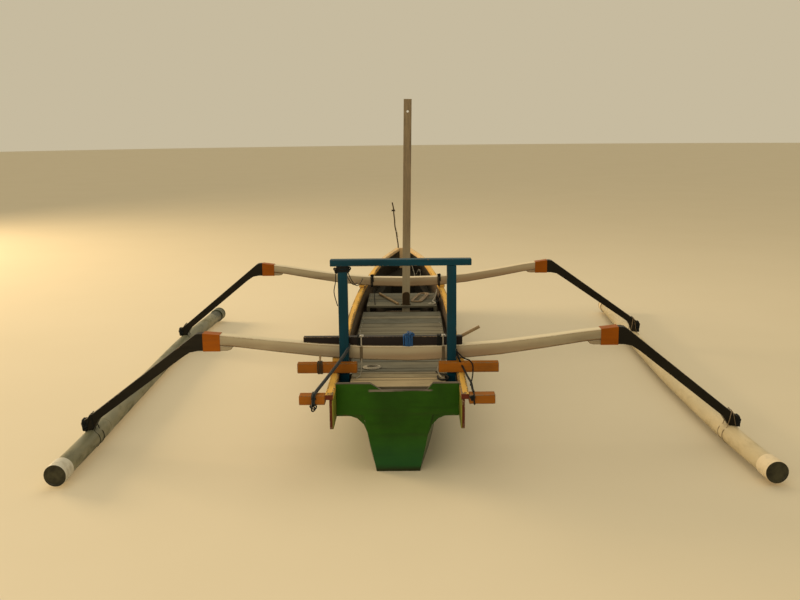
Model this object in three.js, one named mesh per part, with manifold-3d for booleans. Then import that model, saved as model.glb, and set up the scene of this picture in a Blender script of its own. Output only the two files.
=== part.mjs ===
// Outrigger canoe afloat, in millimetres.
// +Y points to the bow, +X to starboard and +Z up. The origin lies on the hull's centreline,
// midway between the two outrigger beams, at the surface of the water.

import * as THREE from 'three';
import { mergeVertices } from 'three/addons/utils/BufferGeometryUtils.js';
import Module from 'manifold-3d';

const wasm = await Module();
wasm.setup();

const SIDES = [['port', -1], ['starboard', 1]];
const SIDE_SIGN = Object.fromEntries(SIDES);

// Driving dimensions

const GAP = 0.3; // seat between pieces that touch
const TOUCH = 0.5; // seat between a piece and the curved inside of the hull
const PAST = 10; // how far a cutting shape runs past the faces that it cuts
const WIDE = 1000; // wider than the hull
const DEEP = -300; // lower than the keel

const BEAM_REACH = 1455; // from the origin to each outrigger beam, along Y
const STERN_END = -2107; // aft ends of the side planks and gunwale caps
const TRANSOM_Y = -1890; // aft face of the transom
const TRANSOM_THICK = 28;
const HULL_WALL = 26;
const SHELF_THICK = 25;
const STEM_JOINT_Y = 2900; // where the hollow hull meets the solid stem

// Sections of the lower hull. Each has the half-breadth of the shelf's outer edge, of the neck below
// the shelf, of the side at the water and of the bottom, with the heights of the shelf and the bottom.
const HULL_SECTIONS = [
  { y: TRANSOM_Y + TRANSOM_THICK + GAP, shelf: 387, neck: 215, water: 146, foot: 92, shelfZ: 384, keelZ: -130 },
  { y: -1300, shelf: 390, neck: 268, water: 226, foot: 140, shelfZ: 380, keelZ: -185 },
  { y: -500, shelf: 396, neck: 330, water: 300, foot: 185, shelfZ: 378, keelZ: -215 },
  { y: 500, shelf: 398, neck: 346, water: 318, foot: 195, shelfZ: 380, keelZ: -222 },
  { y: 1500, shelf: 366, neck: 312, water: 272, foot: 158, shelfZ: 394, keelZ: -210 },
  { y: 2200, shelf: 292, neck: 244, water: 192, foot: 96, shelfZ: 418, keelZ: -165 },
  { y: STEM_JOINT_Y, shelf: 213, neck: 172, water: 112, foot: 44, shelfZ: 448, keelZ: -62 },
];

// Heights of the side at the water and of the bilge, as shares of the side's height, and the bilge's fullness
const WATER_SHARE = 0.34;
const BILGE_SHARE = 0.3;
const BILGE_FULL = 0.62;
const INNER_BILGE_RISE = 0.5; // the bilge's and the keel's share of the wall, inside
const INNER_KEEL_INSET = 0.6;
const TIMBER_THICK = 32; // floor timbers, along Y

// The solid stem goes on from the last section and sweeps up to the bow.
const STEM_SECTIONS = [
  { y: STEM_JOINT_Y + GAP, shelf: 213, neck: 172, water: 112, foot: 44, shelfZ: 448, keelZ: -62 },
  { y: 3080, shelf: 191, neck: 150, water: 84, foot: 32, shelfZ: 456, keelZ: -8 },
  { y: 3300, shelf: 118, neck: 92, water: 52, foot: 24, shelfZ: 468, keelZ: 116 },
  { y: 3460, shelf: 64, neck: 50, water: 34, foot: 20, shelfZ: 477, keelZ: 262 },
  { y: 3520, shelf: 44, neck: 36, water: 27, foot: 18, shelfZ: 480, keelZ: 340 },
];

// Height of the gunwale caps' upper face from the stern to the bow.
const SHEER_LINE = [
  { y: STERN_END, top: 573 },
  { y: HULL_SECTIONS[0].y, top: 573 },
  { y: -1300, top: 574 },
  { y: -500, top: 577 },
  { y: 500, top: 588 },
  { y: 1500, top: 612 },
  { y: 2200, top: 640 },
  { y: STEM_JOINT_Y, top: 670 },
  { y: 3080, top: 679 },
  { y: 3300, top: 700 },
  { y: 3460, top: 716 },
  { y: 3520, top: 722 },
];
const PLANK_THICK = 25;
const PLANK_DROP = 30; // how far the planks reach below the shelf
const CAP_WIDTH = 50;
const CAP_THICK = 35;
const BOW_BOARD_THICK = 32;

// Transom, seen from astern
const TRANSOM_TOP = 583;
const TRANSOM_WING = 378;
const WING_NICK = 4; // the wings' underside rises this much to the neck
const NOTCH = { topLeft: -175, bottomLeft: -100, bottomRight: 186, topRight: 226, depth: 47 };

// Deck panels of cross planks on two side bearers
const PLANK_GAP = 9;
const DECK_THICK = 18;
const DECK_ROOM = 4; // between the planks' ends and the side planks
const DECKS = [
  {
    name: 'deck_aft', top: 530, half: 312, bearer: 30, start: -1786,
    planks: [150, 55, 85, 55, 70, 90],
  },
  {
    name: 'deck_mid', top: 450, half: 362, bearer: 34, start: -1180,
    planks: [150, 170, 120, 190, 130, 160, 110, 175, 95, 150, 140, 190, 110, 190],
  },
  {
    name: 'deck_forward', top: 500, half: 330, bearer: 30, start: 1046,
    planks: [205, 130, 150, 160],
  },
];

// Mast: a square spar that leans a little to starboard
const MAST = { x: 28, y: 1122, side: 72, foot: -150, top: 2402, lean: THREE.MathUtils.degToRad(1.04) };
const MAST_CLEARANCE = 6;
const MAST_HOLE = { z: 2292, radius: 11 };
const STEP = { width: 220, length: 200, top: -80 };

// Beams: their middle's place and height, the depth there, and how high the upper edge is at each end
const BEAM_THICK = 80; // along Y
const BEAMS = [
  { name: 'aft', y: -BEAM_REACH, x: 80, top: 722, depth: 100, portTop: 819, starboardTop: 842 },
  { name: 'forward', y: BEAM_REACH, x: 26, top: 710, depth: 92, portTop: 858, starboardTop: 865 },
];
const BEAM_HALF = 1382; // from a beam's middle to its end
// Share of a beam's rise that its upper edge has made at a distance u from the middle
const BEAM_RISE = [
  { u: 0, share: 0 },
  { u: 300, share: 0.04 },
  { u: 600, share: 0.21 },
  { u: 900, share: 0.51 },
  { u: 1150, share: 0.79 },
  { u: BEAM_HALF, share: 1 },
];
const LAP_START = 1185; // inner end of the lap under a beam's end
const LAP_BEAM_DEPTH = 74;
const LAP_DEPTH = 118; // beam and arm together, at the beam's end
const SLEEVE = { from: 1268, to: 1384, wall: 2 };

// Floats: plastic pipes with end caps. Their middle lines, as y and x from aft to forward, bend a little.
const FLOAT = { radius: 62, z: 90, sides: 24, steps: 20 };
const FLOAT_LINES = {
  port: [[-2168, -2097], [-1455, -2100], [0, -2132], [1455, -2148], [2790, -2088]],
  starboard: [[-2190, 2290], [-1455, 2246], [0, 2228], [1455, 2268], [3110, 2332]],
};
// A cap's outside, as radius and distance from its end, with a narrower neck behind the end disc
const FLOAT_CAP = {
  bore: 8,
  outside: [[67, 0], [70, 3], [70, 20], [67, 21], [67, 52], [70, 53], [70, 140]],
};

// Knee arms, one at each end of each beam. The packing lifts an arm's foot on its float.
const ARMS = [
  { name: 'arm_aft_port', beam: 0, side: 'port', packing: 8 },
  { name: 'arm_aft_starboard', beam: 0, side: 'starboard', packing: 0 },
  { name: 'arm_forward_port', beam: 1, side: 'port', packing: 0 },
  { name: 'arm_forward_starboard', beam: 1, side: 'starboard', packing: 32 },
];
const ARM_THICK = 72;
// The arms' outline: the rounded inner end of the tongue, as distance from the lap's start and share of
// the tongue's height, the shoulder and the crook, from the beam's end and the lap's upper and lower
// edge, and the foot, from the float's crown, with its upper points apart from those on the pipe.
const TONGUE_END = [[36, 0], [12, 0.3], [2, 0.75]];
const SHOULDER = [[30, 0], [52, -5], [68, -17]];
const CROOK = [[149, -46], [95, -11], [40, 0]];
const FOOT_HEAD = [[-10, 102], [66, 44]];
const FOOT_SEAT = [[58, 16], [40, 0], [-14, 0]];
const FOOT_HEEL = [[-36, 30], [-62, 70]];

// Cords that brace the port post from the forward beam: each one's ends as x and z, and its sag
const STAY = { radius: 4, sides: 8, steps: 30, bury: 5 };
const STAYS = [
  { name: 'stay_inboard', head: [-333, 1256], foot: [-385, 700], sag: 90 },
  { name: 'stay_outboard', head: [-345, 1244], foot: [-440, 660], sag: 50 },
];

// Gallows over the stern
const POST = { width: 62, thick: 60, x: 356, bottom: 384.3 };
const CROSSBAR = { left: -436, right: 485, bottom: 1274, height: 43, thick: 66 };

// Bracket bars on the stern quarters
const FORWARD_BAR = { inner: 268, outer: 662, height: 66, thick: 60 };
const AFT_BAR = { outer: 596, top: 566, height: 58, thick: 78 };

// Clamp bar on the aft beam, with its handle
const CLAMP_BAR = { left: -632, right: 430, top: 787, thick: 50 };
const HANDLE = { radius: 11, sides: 10, foot: [404, 762], tip: [548, 838] };

// Staff at the bow
const STAFF = { x: -62, radius: 9, height: 545, lean: THREE.MathUtils.degToRad(6.8), knob: 22, knobAt: 445 };

// Colours, roughness and metalness of the finishes
const FINISH = {
  green: { color: 0x27420f, roughness: 0.6, metalness: 0 },
  tan: { color: 0xb4692c, roughness: 0.65, metalness: 0 },
  redBrown: { color: 0x5b2413, roughness: 0.7, metalness: 0 },
  deck: { color: 0x9a8a72, roughness: 0.85, metalness: 0 },
  inside: { color: 0x2b2620, roughness: 0.9, metalness: 0 },
  mast: { color: 0x8f8371, roughness: 0.85, metalness: 0 },
  cream: { color: 0xc9bda4, roughness: 0.6, metalness: 0 },
  orange: { color: 0xb0520c, roughness: 0.5, metalness: 0 },
  black: { color: 0x1b1717, roughness: 0.45, metalness: 0 },
  pipe: { color: 0xcfc7ae, roughness: 0.45, metalness: 0 },
  cap: { color: 0x4a4a38, roughness: 0.5, metalness: 0 },
  blue: { color: 0x0f4560, roughness: 0.5, metalness: 0 },
  dark: { color: 0x2a2226, roughness: 0.55, metalness: 0 },
};

// Working with solids

function toManifold(geometry) {
  const bare = geometry.clone();
  bare.deleteAttribute('normal');
  bare.deleteAttribute('uv');
  const merged = mergeVertices(bare, 1e-4);
  return new wasm.Manifold(new wasm.Mesh({
    numProp: 3,
    vertProperties: new Float32Array(merged.attributes.position.array),
    triVerts: new Uint32Array(merged.index.array),
  }));
}

function toGeometry(solid) {
  const mesh = solid.getMesh();
  const geometry = new THREE.BufferGeometry();
  geometry.setAttribute('position', new THREE.BufferAttribute(new Float32Array(mesh.vertProperties), 3));
  geometry.setIndex(new THREE.BufferAttribute(new Uint32Array(mesh.triVerts), 1));
  geometry.computeVertexNormals();
  return geometry;
}

function join(geometries) {
  return toGeometry(geometries.map(toManifold).reduce((sum, next) => sum.add(next)));
}

function cut(geometry, ...tools) {
  return toGeometry(tools.map(toManifold).reduce((left, tool) => left.subtract(tool), toManifold(geometry)));
}

function common(geometry, other) {
  return toGeometry(toManifold(geometry).intersect(toManifold(other)));
}

function box(x0, x1, y0, y1, z0, z1) {
  const geometry = new THREE.BoxGeometry(x1 - x0, y1 - y0, z1 - z0);
  return geometry.translate((x0 + x1) / 2, (y0 + y1) / 2, (z0 + z1) / 2);
}

// A prism with its outline in the XZ plane, from y0 to y1.
function prism(outline, y0, y1) {
  const shape = new THREE.Shape(outline.map(([x, z]) => new THREE.Vector2(x, z)));
  const geometry = new THREE.ExtrudeGeometry(shape, { depth: y1 - y0, bevelEnabled: false });
  return geometry.rotateX(Math.PI / 2).translate(0, y1, 0);
}

function signedArea(points) {
  return THREE.ShapeUtils.area(points);
}

// Triangles over one end ring of a loft, wound the same way as the ring.
function endFaces(ring, first) {
  const flat = ring.map((point) => new THREE.Vector2(point.x, point.z));
  const ringSign = Math.sign(signedArea(flat));
  return THREE.ShapeUtils.triangulateShape(flat, []).map(([a, b, c]) => {
    const sameWay = Math.sign(signedArea([flat[a], flat[b], flat[c]])) === ringSign;
    return sameWay ? [first + a, first + b, first + c] : [first + a, first + c, first + b];
  });
}

// A closed body through rings of equal length, each in a plane of constant y.
function loft(rings) {
  const count = rings[0].length;
  const last = (rings.length - 1) * count;
  const faces = endFaces(rings[0], 0);
  for (const [a, b, c] of endFaces(rings[rings.length - 1], last)) faces.push([a, c, b]);
  for (let ring = 0; ring < rings.length - 1; ring += 1) {
    for (let i = 0; i < count; i += 1) {
      const a = ring * count + i;
      const b = ring * count + ((i + 1) % count);
      faces.push([b, a, a + count], [b, a + count, b + count]);
    }
  }
  const points = rings.flat();
  let volume = 0;
  for (const [a, b, c] of faces) volume += points[a].dot(points[b].clone().cross(points[c]));
  const outward = volume > 0 ? faces : faces.map(([a, b, c]) => [a, c, b]);
  const geometry = new THREE.BufferGeometry().setFromPoints(points);
  geometry.setIndex(outward.flat());
  geometry.computeVertexNormals();
  return geometry;
}

// A value of a table between its rows, which are in order of their key.
function between(table, at, column, key = 'y') {
  const above = Math.max(1, table.findIndex((row) => row[key] >= at));
  const [low, high] = [table[above - 1], table[above]];
  return THREE.MathUtils.mapLinear(at, low[key], high[key], low[column], high[column]);
}

// Hull

// The side planks' inner faces lie against the shelf's outer edge, and run straight aft of it.
function plankHalf(y) {
  const table = y <= STEM_JOINT_Y ? HULL_SECTIONS : STEM_SECTIONS;
  return (y <= table[0].y ? table[0].shelf : between(table, y, 'shelf')) + GAP;
}

const SHEER = SHEER_LINE.map((row) => ({ ...row, half: plankHalf(row.y) }));

// Half of a section's outside from the shelf's edge to the bottom, as x and z.
function outerHalf(section) {
  const { shelf, neck, water, foot, shelfZ, keelZ } = section;
  const under = shelfZ - SHELF_THICK;
  const waterline = Math.max(0, keelZ + (under - keelZ) * WATER_SHARE);
  const bilge = keelZ + (waterline - keelZ) * BILGE_SHARE;
  return [
    [shelf, shelfZ],
    [shelf, under],
    [neck, under],
    [water, waterline],
    [foot + (water - foot) * BILGE_FULL, bilge],
    [foot, keelZ],
  ];
}

// Half of a section's inside, from the shelf's inner edge to the bottom.
function innerHalf(section, inset) {
  const [, , [neck], [water, waterline], [bilgeX, bilge], [foot, keel]] = outerHalf(section);
  const wall = HULL_WALL + inset;
  return [
    [neck - wall, section.shelfZ],
    [water - wall, waterline],
    [bilgeX - wall, bilge + wall * INNER_BILGE_RISE],
    [foot - wall * INNER_KEEL_INSET, keel + wall],
  ];
}

function wholeRing(half, y) {
  const starboard = half.map(([x, z]) => new THREE.Vector3(x, y, z));
  const port = half.map(([x, z]) => new THREE.Vector3(-x, y, z)).reverse();
  return [...starboard, ...port];
}

function hullShell() {
  const rings = HULL_SECTIONS.map((section) => {
    const outside = wholeRing(outerHalf(section), section.y);
    const inside = wholeRing(innerHalf(section, 0), section.y).reverse();
    return [...outside, ...inside];
  });
  return loft(rings);
}

// The space inside the hull, a little smaller than the hollow.
function hullSpace() {
  return loft(HULL_SECTIONS.map((section) => wholeRing(innerHalf(section, TOUCH), section.y).reverse()));
}

function stem() {
  return loft(STEM_SECTIONS.map((section) => wholeRing(outerHalf(section), section.y)));
}

function floorTimber(y, top) {
  return common(box(-WIDE, WIDE, y - TIMBER_THICK / 2, y + TIMBER_THICK / 2, DEEP, top), hullSpace());
}

// A strip along one side, whose ring at each row of the sheer comes from a function of that row.
function sideStrip(side, rows, ringAt) {
  return loft(rows.map((row) => ringAt(row).map(([x, z]) => new THREE.Vector3(side * x, row.y, z))));
}

function plankBottom(y) {
  const first = HULL_SECTIONS[0];
  if (y <= first.y) return first.shelfZ - PLANK_DROP;
  const table = y <= STEM_JOINT_Y ? HULL_SECTIONS : STEM_SECTIONS;
  return between(table, Math.max(y, table[0].y), 'shelfZ') - PLANK_DROP;
}

function sidePlank(side) {
  return sideStrip(side, SHEER, ({ y, half, top }) => {
    const [bottom, head] = [plankBottom(y), top - CAP_THICK - GAP];
    return [[half, bottom], [half + PLANK_THICK, bottom], [half + PLANK_THICK, head], [half, head]];
  });
}

function gunwaleCap(side) {
  return sideStrip(side, SHEER, ({ half, top }) => [
    [half, top - CAP_THICK],
    [half + CAP_WIDTH, top - CAP_THICK],
    [half + CAP_WIDTH, top],
    [half, top],
  ]);
}

function bowBoard() {
  const tip = SHEER[SHEER.length - 1];
  const y0 = tip.y + GAP;
  const outer = tip.half + CAP_WIDTH;
  return box(-outer, outer, y0, y0 + BOW_BOARD_THICK, plankBottom(tip.y), tip.top);
}

function transom() {
  const first = HULL_SECTIONS[0];
  const half = outerHalf(first).slice(2);
  const inner = [half[0][0] + WING_NICK, TRANSOM_WING - WING_NICK];
  const right = [[first.shelf, TRANSOM_WING], inner, ...half.slice(1)];
  const left = right.map(([x, z]) => [-x, z]).reverse();
  const notchZ = TRANSOM_TOP - NOTCH.depth;
  const outline = [
    [first.shelf, TRANSOM_TOP],
    [NOTCH.topRight, TRANSOM_TOP],
    [NOTCH.bottomRight, notchZ],
    [NOTCH.bottomLeft, notchZ],
    [NOTCH.topLeft, TRANSOM_TOP],
    [-first.shelf, TRANSOM_TOP],
    ...left.reverse(),
    ...right.reverse(),
  ];
  return prism(outline, TRANSOM_Y, TRANSOM_Y + TRANSOM_THICK);
}

// Decks

function deckEnd({ start, planks }) {
  return start + planks.reduce((sum, width) => sum + width + PLANK_GAP, 0) - PLANK_GAP;
}

// The widest that a cross plank may be between the side planks.
function roomAt(y) {
  return between(SHEER, y, 'half') - DECK_ROOM;
}

function deckPanel(deck) {
  const { top, half, bearer, start, planks } = deck;
  const end = deckEnd(deck);
  const pieces = [];
  let y = start;
  for (const width of planks) {
    const reach = Math.min(half, roomAt(y + width));
    pieces.push(box(-reach, reach, y, y + width, top - DECK_THICK, top));
    y += width + PLANK_GAP;
  }
  const inner = Math.min(half, roomAt(end)) - bearer;
  for (const side of [-1, 1]) {
    const [x0, x1] = side < 0 ? [-inner - bearer, -inner] : [inner, inner + bearer];
    const seat = Math.max(between(HULL_SECTIONS, start, 'shelfZ'), between(HULL_SECTIONS, end, 'shelfZ')) + GAP;
    pieces.push(box(x0, x1, start, end, seat, top - DECK_THICK / 2));
  }
  return join(pieces);
}

function mastAxisX(z) {
  return MAST.x + (z - MAST.foot) * Math.tan(MAST.lean);
}

function deckForward(deck) {
  const hole = MAST.side / 2 + MAST_CLEARANCE;
  const x = mastAxisX(deck.top);
  const [low, high] = [deck.top - DECK_THICK - PAST, deck.top + PAST];
  return cut(deckPanel(deck), box(x - hole, x + hole, MAST.y - hole, MAST.y + hole, low, high));
}

// Mast and its step

function mast() {
  const length = MAST.top - MAST.foot;
  const half = MAST.side / 2;
  const spar = box(-half, half, -half, half, 0, length);
  const sheave = new THREE.CylinderGeometry(MAST_HOLE.radius, MAST_HOLE.radius, MAST.side * 2, 16);
  return cut(spar, sheave.translate(0, 0, MAST_HOLE.z - MAST.foot));
}

function mastStep() {
  const socket = MAST.side / 2 + MAST_CLEARANCE;
  const [halfX, halfY] = [STEP.width / 2, STEP.length / 2];
  const x = mastAxisX(STEP.top);
  const block = box(x - halfX, x + halfX, MAST.y - halfY, MAST.y + halfY, DEEP, STEP.top);
  const seated = common(block, hullSpace());
  const floor = MAST.foot - GAP - (MAST.side / 2) * Math.sin(MAST.lean);
  return cut(seated, box(x - socket, x + socket, MAST.y - socket, MAST.y + socket, floor, STEP.top + PAST));
}

// Outrigger

// Height of a beam's upper edge at a distance u to starboard of its middle.
function beamTop(beam, u) {
  const endTop = u < 0 ? beam.portTop : beam.starboardTop;
  const share = between(BEAM_RISE, Math.min(Math.abs(u), BEAM_HALF), 'share', 'u');
  return THREE.MathUtils.lerp(beam.top, endTop, share);
}

// Height of a beam's underside, which tapers from the middle to the lap.
function beamUnder(beam, u) {
  const along = Math.min(Math.abs(u), LAP_START);
  return beamTop(beam, u) - THREE.MathUtils.mapLinear(along, 0, LAP_START, beam.depth, LAP_BEAM_DEPTH);
}

function beamBody(beam) {
  const tops = BEAM_RISE.map((row) => row.u);
  const unders = [...tops.filter((u) => u < LAP_START), LAP_START, BEAM_HALF];
  const bothSides = (distances) => [...distances.slice(1).reverse().map((u) => -u), ...distances];
  const upper = bothSides(tops).map((u) => [beam.x + u, beamTop(beam, u)]);
  const lower = bothSides(unders).map((u) => [beam.x + u, beamUnder(beam, u)]);
  return prism([...lower, ...upper.reverse()], beam.y - BEAM_THICK / 2, beam.y + BEAM_THICK / 2);
}

// A float's middle line in short straight pieces, each end as long as its cap.
function floatLine(points) {
  const curve = new THREE.SplineCurve(points.map(([y, x]) => new THREE.Vector2(y, x)));
  const rows = curve.getPoints(FLOAT.steps).map((point) => ({ y: point.x, x: point.y }));
  const [first, last] = [rows[0], rows[rows.length - 1]];
  const [, capLength] = FLOAT_CAP.outside[FLOAT_CAP.outside.length - 1];
  const open = rows.filter((row) => row.y > first.y + capLength && row.y < last.y - capLength);
  return [first, ...open, last];
}

const FLOAT_ROWS = Object.fromEntries(SIDES.map(([name]) => [name, floatLine(FLOAT_LINES[name])]));

// A round body along a float's middle line, through rings given as radius and y.
function alongFloat(line, rings) {
  return loft(rings.map(([radius, y]) => {
    const x = between(line, y, 'x');
    return Array.from({ length: FLOAT.sides }, (_, i) => {
      const angle = (i / FLOAT.sides) * Math.PI * 2;
      return new THREE.Vector3(x + radius * Math.sin(angle), y, FLOAT.z + radius * Math.cos(angle));
    });
  }));
}

function floatPipe(name) {
  const line = FLOAT_ROWS[name];
  const inset = FLOAT_CAP.bore + GAP;
  const [start, end] = [line[0].y + inset, line[line.length - 1].y - inset];
  const stations = [start, ...line.slice(1, -1).map((row) => row.y), end];
  return alongFloat(line, stations.map((y) => [FLOAT.radius, y]));
}

// A cup over a float's aft or forward end.
function floatCap(name, end) {
  const line = FLOAT_ROWS[name];
  const tip = end === 'aft' ? line[0].y : line[line.length - 1].y;
  const inward = end === 'aft' ? 1 : -1;
  const [, length] = FLOAT_CAP.outside[FLOAT_CAP.outside.length - 1];
  const outside = alongFloat(line, FLOAT_CAP.outside.map(([radius, depth]) => [radius, tip + inward * depth]));
  const bore = [FLOAT_CAP.bore, length + PAST].map((depth) => [FLOAT.radius + GAP, tip + inward * depth]);
  return cut(outside, alongFloat(line, bore));
}

function kneeArm({ beam: index, side, packing }) {
  const beam = BEAMS[index];
  const sign = SIDE_SIGN[side];
  const under = (u) => beamUnder(beam, sign * u) - GAP;
  const elbowTop = beamTop(beam, sign * BEAM_HALF);
  const elbowBottom = elbowTop - LAP_DEPTH;
  const seatU = (between(FLOAT_ROWS[side], beam.y, 'x') - beam.x) * sign; // the crown, from the beam's middle
  const crown = FLOAT.z + FLOAT.radius + GAP;
  const lap = LAP_START + GAP;
  const tongue = under(lap) - elbowBottom;
  const moved = (points, u, z) => points.map(([du, dz]) => [u + du, z + dz]);
  const outline = [
    [lap, under(lap)],
    [BEAM_HALF + GAP, under(BEAM_HALF)],
    [BEAM_HALF + GAP, elbowTop],
    ...moved(SHOULDER, BEAM_HALF, elbowTop),
    ...moved(FOOT_HEAD, seatU, crown + packing),
    ...moved(FOOT_SEAT, seatU, crown),
    ...moved(FOOT_HEEL, seatU, crown + packing),
    ...moved(CROOK, BEAM_HALF, elbowBottom),
    ...TONGUE_END.map(([du, share]) => [lap + du, elbowBottom + tongue * share]),
  ];
  const placed = outline.map(([u, z]) => [beam.x + sign * u, z]);
  return prism(placed, beam.y - ARM_THICK / 2, beam.y + ARM_THICK / 2);
}

// Sleeve round the lap of a beam and an arm. Its underside is level.
function jointSleeve({ beam: index, side }) {
  const beam = BEAMS[index];
  const sign = SIDE_SIGN[side];
  const bottom = beamTop(beam, sign * BEAM_HALF) - LAP_DEPTH;
  const body = (from, to, out, half) => {
    const upper = [from, BEAM_HALF, to].map((u) => [u, beamTop(beam, sign * u) + out]);
    const outline = [...upper, [to, bottom - out], [from, bottom - out]];
    return prism(outline.map(([u, z]) => [beam.x + sign * u, z]), beam.y - half, beam.y + half);
  };
  const hole = BEAM_THICK / 2 + GAP;
  const outside = body(SLEEVE.from, SLEEVE.to, GAP + SLEEVE.wall, hole + SLEEVE.wall);
  return cut(outside, body(SLEEVE.from - PAST, SLEEVE.to + PAST, GAP, hole));
}

// A chock between a gunwale cap and the beam over it.
function chock(beam, side) {
  const half = between(SHEER, beam.y, 'half');
  const seat = between(SHEER, beam.y + BEAM_THICK / 2, 'top') + GAP;
  const [near, far] = [side * half, side * (half + CAP_WIDTH)];
  const headAt = (x) => beamUnder(beam, x - beam.x) - GAP;
  const [x0, x1] = [Math.min(near, far), Math.max(near, far)];
  const outline = [[x0, seat], [x1, seat], [x1, headAt(x1)], [x0, headAt(x0)]];
  return prism(outline, beam.y - BEAM_THICK / 2, beam.y + BEAM_THICK / 2);
}

// Stern gear

const POST_Y = -BEAM_REACH - BEAM_THICK / 2 - GAP - POST.thick / 2;
const FORWARD_BAR_Y = POST_Y - POST.thick / 2 - GAP - FORWARD_BAR.thick / 2;

function post(side) {
  const [x, halfX, halfY] = [side * POST.x, POST.width / 2, POST.thick / 2];
  return box(x - halfX, x + halfX, POST_Y - halfY, POST_Y + halfY, POST.bottom, CROSSBAR.bottom - GAP);
}

function crossbar() {
  const half = CROSSBAR.thick / 2;
  const { left, right, bottom, height } = CROSSBAR;
  return box(left, right, POST_Y - half, POST_Y + half, bottom, bottom + height);
}

function acrossSide(side, inner, outer, y, thick, z0, z1) {
  const [x0, x1] = side < 0 ? [-outer, -inner] : [inner, outer];
  return box(x0, x1, y - thick / 2, y + thick / 2, z0, z1);
}

function forwardBar(side) {
  const seat = between(SHEER, FORWARD_BAR_Y + FORWARD_BAR.thick, 'top') + GAP;
  const { inner, outer, thick, height } = FORWARD_BAR;
  return acrossSide(side, inner, outer, FORWARD_BAR_Y, thick, seat, seat + height);
}

function aftBar(side) {
  const { outer, top, height, thick } = AFT_BAR;
  const inner = SHEER[0].half + CAP_WIDTH + GAP;
  return acrossSide(side, inner, outer, STERN_END + thick / 2, thick, top - height, top);
}

// A straight-topped bar whose underside follows the aft beam's upper edge.
function clampBar() {
  const beam = BEAMS[0];
  const seatAt = (x) => [x, beamTop(beam, x - beam.x) + GAP];
  const kinks = BEAM_RISE.flatMap(({ u }) => [beam.x - u, beam.x + u]);
  const inside = [...new Set(kinks)].filter((x) => x > CLAMP_BAR.left && x < CLAMP_BAR.right);
  const below = [CLAMP_BAR.left, ...inside.sort((a, b) => a - b), CLAMP_BAR.right].map(seatAt);
  const outline = [...below, [CLAMP_BAR.right, CLAMP_BAR.top], [CLAMP_BAR.left, CLAMP_BAR.top]];
  return prism(outline, beam.y - CLAMP_BAR.thick / 2, beam.y + CLAMP_BAR.thick / 2);
}

// A round stick that leans up and outboard from the forward face of the clamp bar.
function handle() {
  const [[x0, z0], [x1, z1]] = [HANDLE.foot, HANDLE.tip];
  const length = Math.hypot(x1 - x0, z1 - z0);
  const geometry = new THREE.CylinderGeometry(HANDLE.radius, HANDLE.radius, length, HANDLE.sides);
  const y = -BEAM_REACH + CLAMP_BAR.thick / 2 + HANDLE.radius + GAP;
  return geometry.rotateZ(Math.atan2(z1 - z0, x1 - x0) - Math.PI / 2).rotateX(Math.PI / 2)
    .translate((x0 + x1) / 2, y, (z0 + z1) / 2);
}

// A thin sagging cord from the port post's forward face to the forward beam's aft face.
function stay({ head, foot, sag }) {
  const [from, to] = [POST_Y + POST.thick / 2, BEAM_REACH - BEAM_THICK / 2];
  const start = new THREE.Vector3(head[0], from - STAY.bury, head[1]);
  const end = new THREE.Vector3(foot[0], to + STAY.bury, foot[1]);
  const middle = start.clone().lerp(end, 0.5);
  const path = new THREE.QuadraticBezierCurve3(start, middle.setZ(middle.z - 2 * sag), end);
  const ring = Array.from({ length: STAY.sides }, (_, i) => {
    const angle = (i / STAY.sides) * Math.PI * 2;
    return new THREE.Vector2(STAY.radius * Math.cos(angle), STAY.radius * Math.sin(angle));
  });
  const cord = new THREE.ExtrudeGeometry(new THREE.Shape(ring), { steps: STAY.steps, extrudePath: path });
  return common(cord, box(-WIDE, 0, from + GAP, to - GAP, 0, CROSSBAR.bottom));
}

function bowStaff() {
  const { radius, height, knob, knobAt } = STAFF;
  const profile = [
    [0, 0],
    [radius, 0],
    [radius, knobAt - knob],
    [knob, knobAt - knob * 0.5],
    [knob, knobAt + knob * 0.5],
    [radius * 0.8, knobAt + knob],
    [radius * 0.5, height],
    [0, height],
  ].map(([r, z]) => new THREE.Vector2(r, z));
  return new THREE.LatheGeometry(profile, 12).rotateX(Math.PI / 2);
}

// Assembly

const canoe = new THREE.Group();

function place(name, geometry, finish, [x, y, z] = [0, 0, 0], [rx, ry, rz] = [0, 0, 0]) {
  const mesh = new THREE.Mesh(geometry, new THREE.MeshStandardMaterial(FINISH[finish]));
  mesh.name = name;
  mesh.position.set(x, y, z);
  mesh.rotation.set(rx, ry, rz);
  canoe.add(mesh);
}


place('hull_lower', hullShell(), 'green');
place('stem_block', stem(), 'green');
place('transom', transom(), 'green');
place('bow_board', bowBoard(), 'tan');
for (const [name, side] of SIDES) {
  place(`side_plank_${name}`, sidePlank(side), 'redBrown');
  place(`gunwale_cap_${name}`, gunwaleCap(side), 'tan');
}
for (const [name, y, top] of [['aft', -800, 40], ['mid', 200, 40], ['bow', 2250, 210]]) {
  place(`floor_timber_${name}`, floorTimber(y, top), 'inside');
}

for (const deck of DECKS) {
  const geometry = deck.name === 'deck_forward' ? deckForward(deck) : deckPanel(deck);
  place(deck.name, geometry, 'deck');
}

place('mast_step', mastStep(), 'inside');
place('mast', mast(), 'mast', [MAST.x, MAST.y, MAST.foot], [0, MAST.lean, 0]);

for (const beam of BEAMS) {
  place(`beam_${beam.name}`, beamBody(beam), 'cream');
  for (const [name, side] of SIDES) {
    place(`chock_${beam.name}_${name}`, chock(beam, side), 'tan');
  }
}
for (const arm of ARMS) {
  place(arm.name, kneeArm(arm), 'black');
  place(arm.name.replace('arm', 'sleeve'), jointSleeve(arm), 'orange');
}

for (const [name] of SIDES) {
  place(`float_${name}`, floatPipe(name), 'pipe');
  place(`float_cap_aft_${name}`, floatCap(name, 'aft'), 'cap');
  place(`float_cap_forward_${name}`, floatCap(name, 'forward'), 'cap');
}

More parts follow.
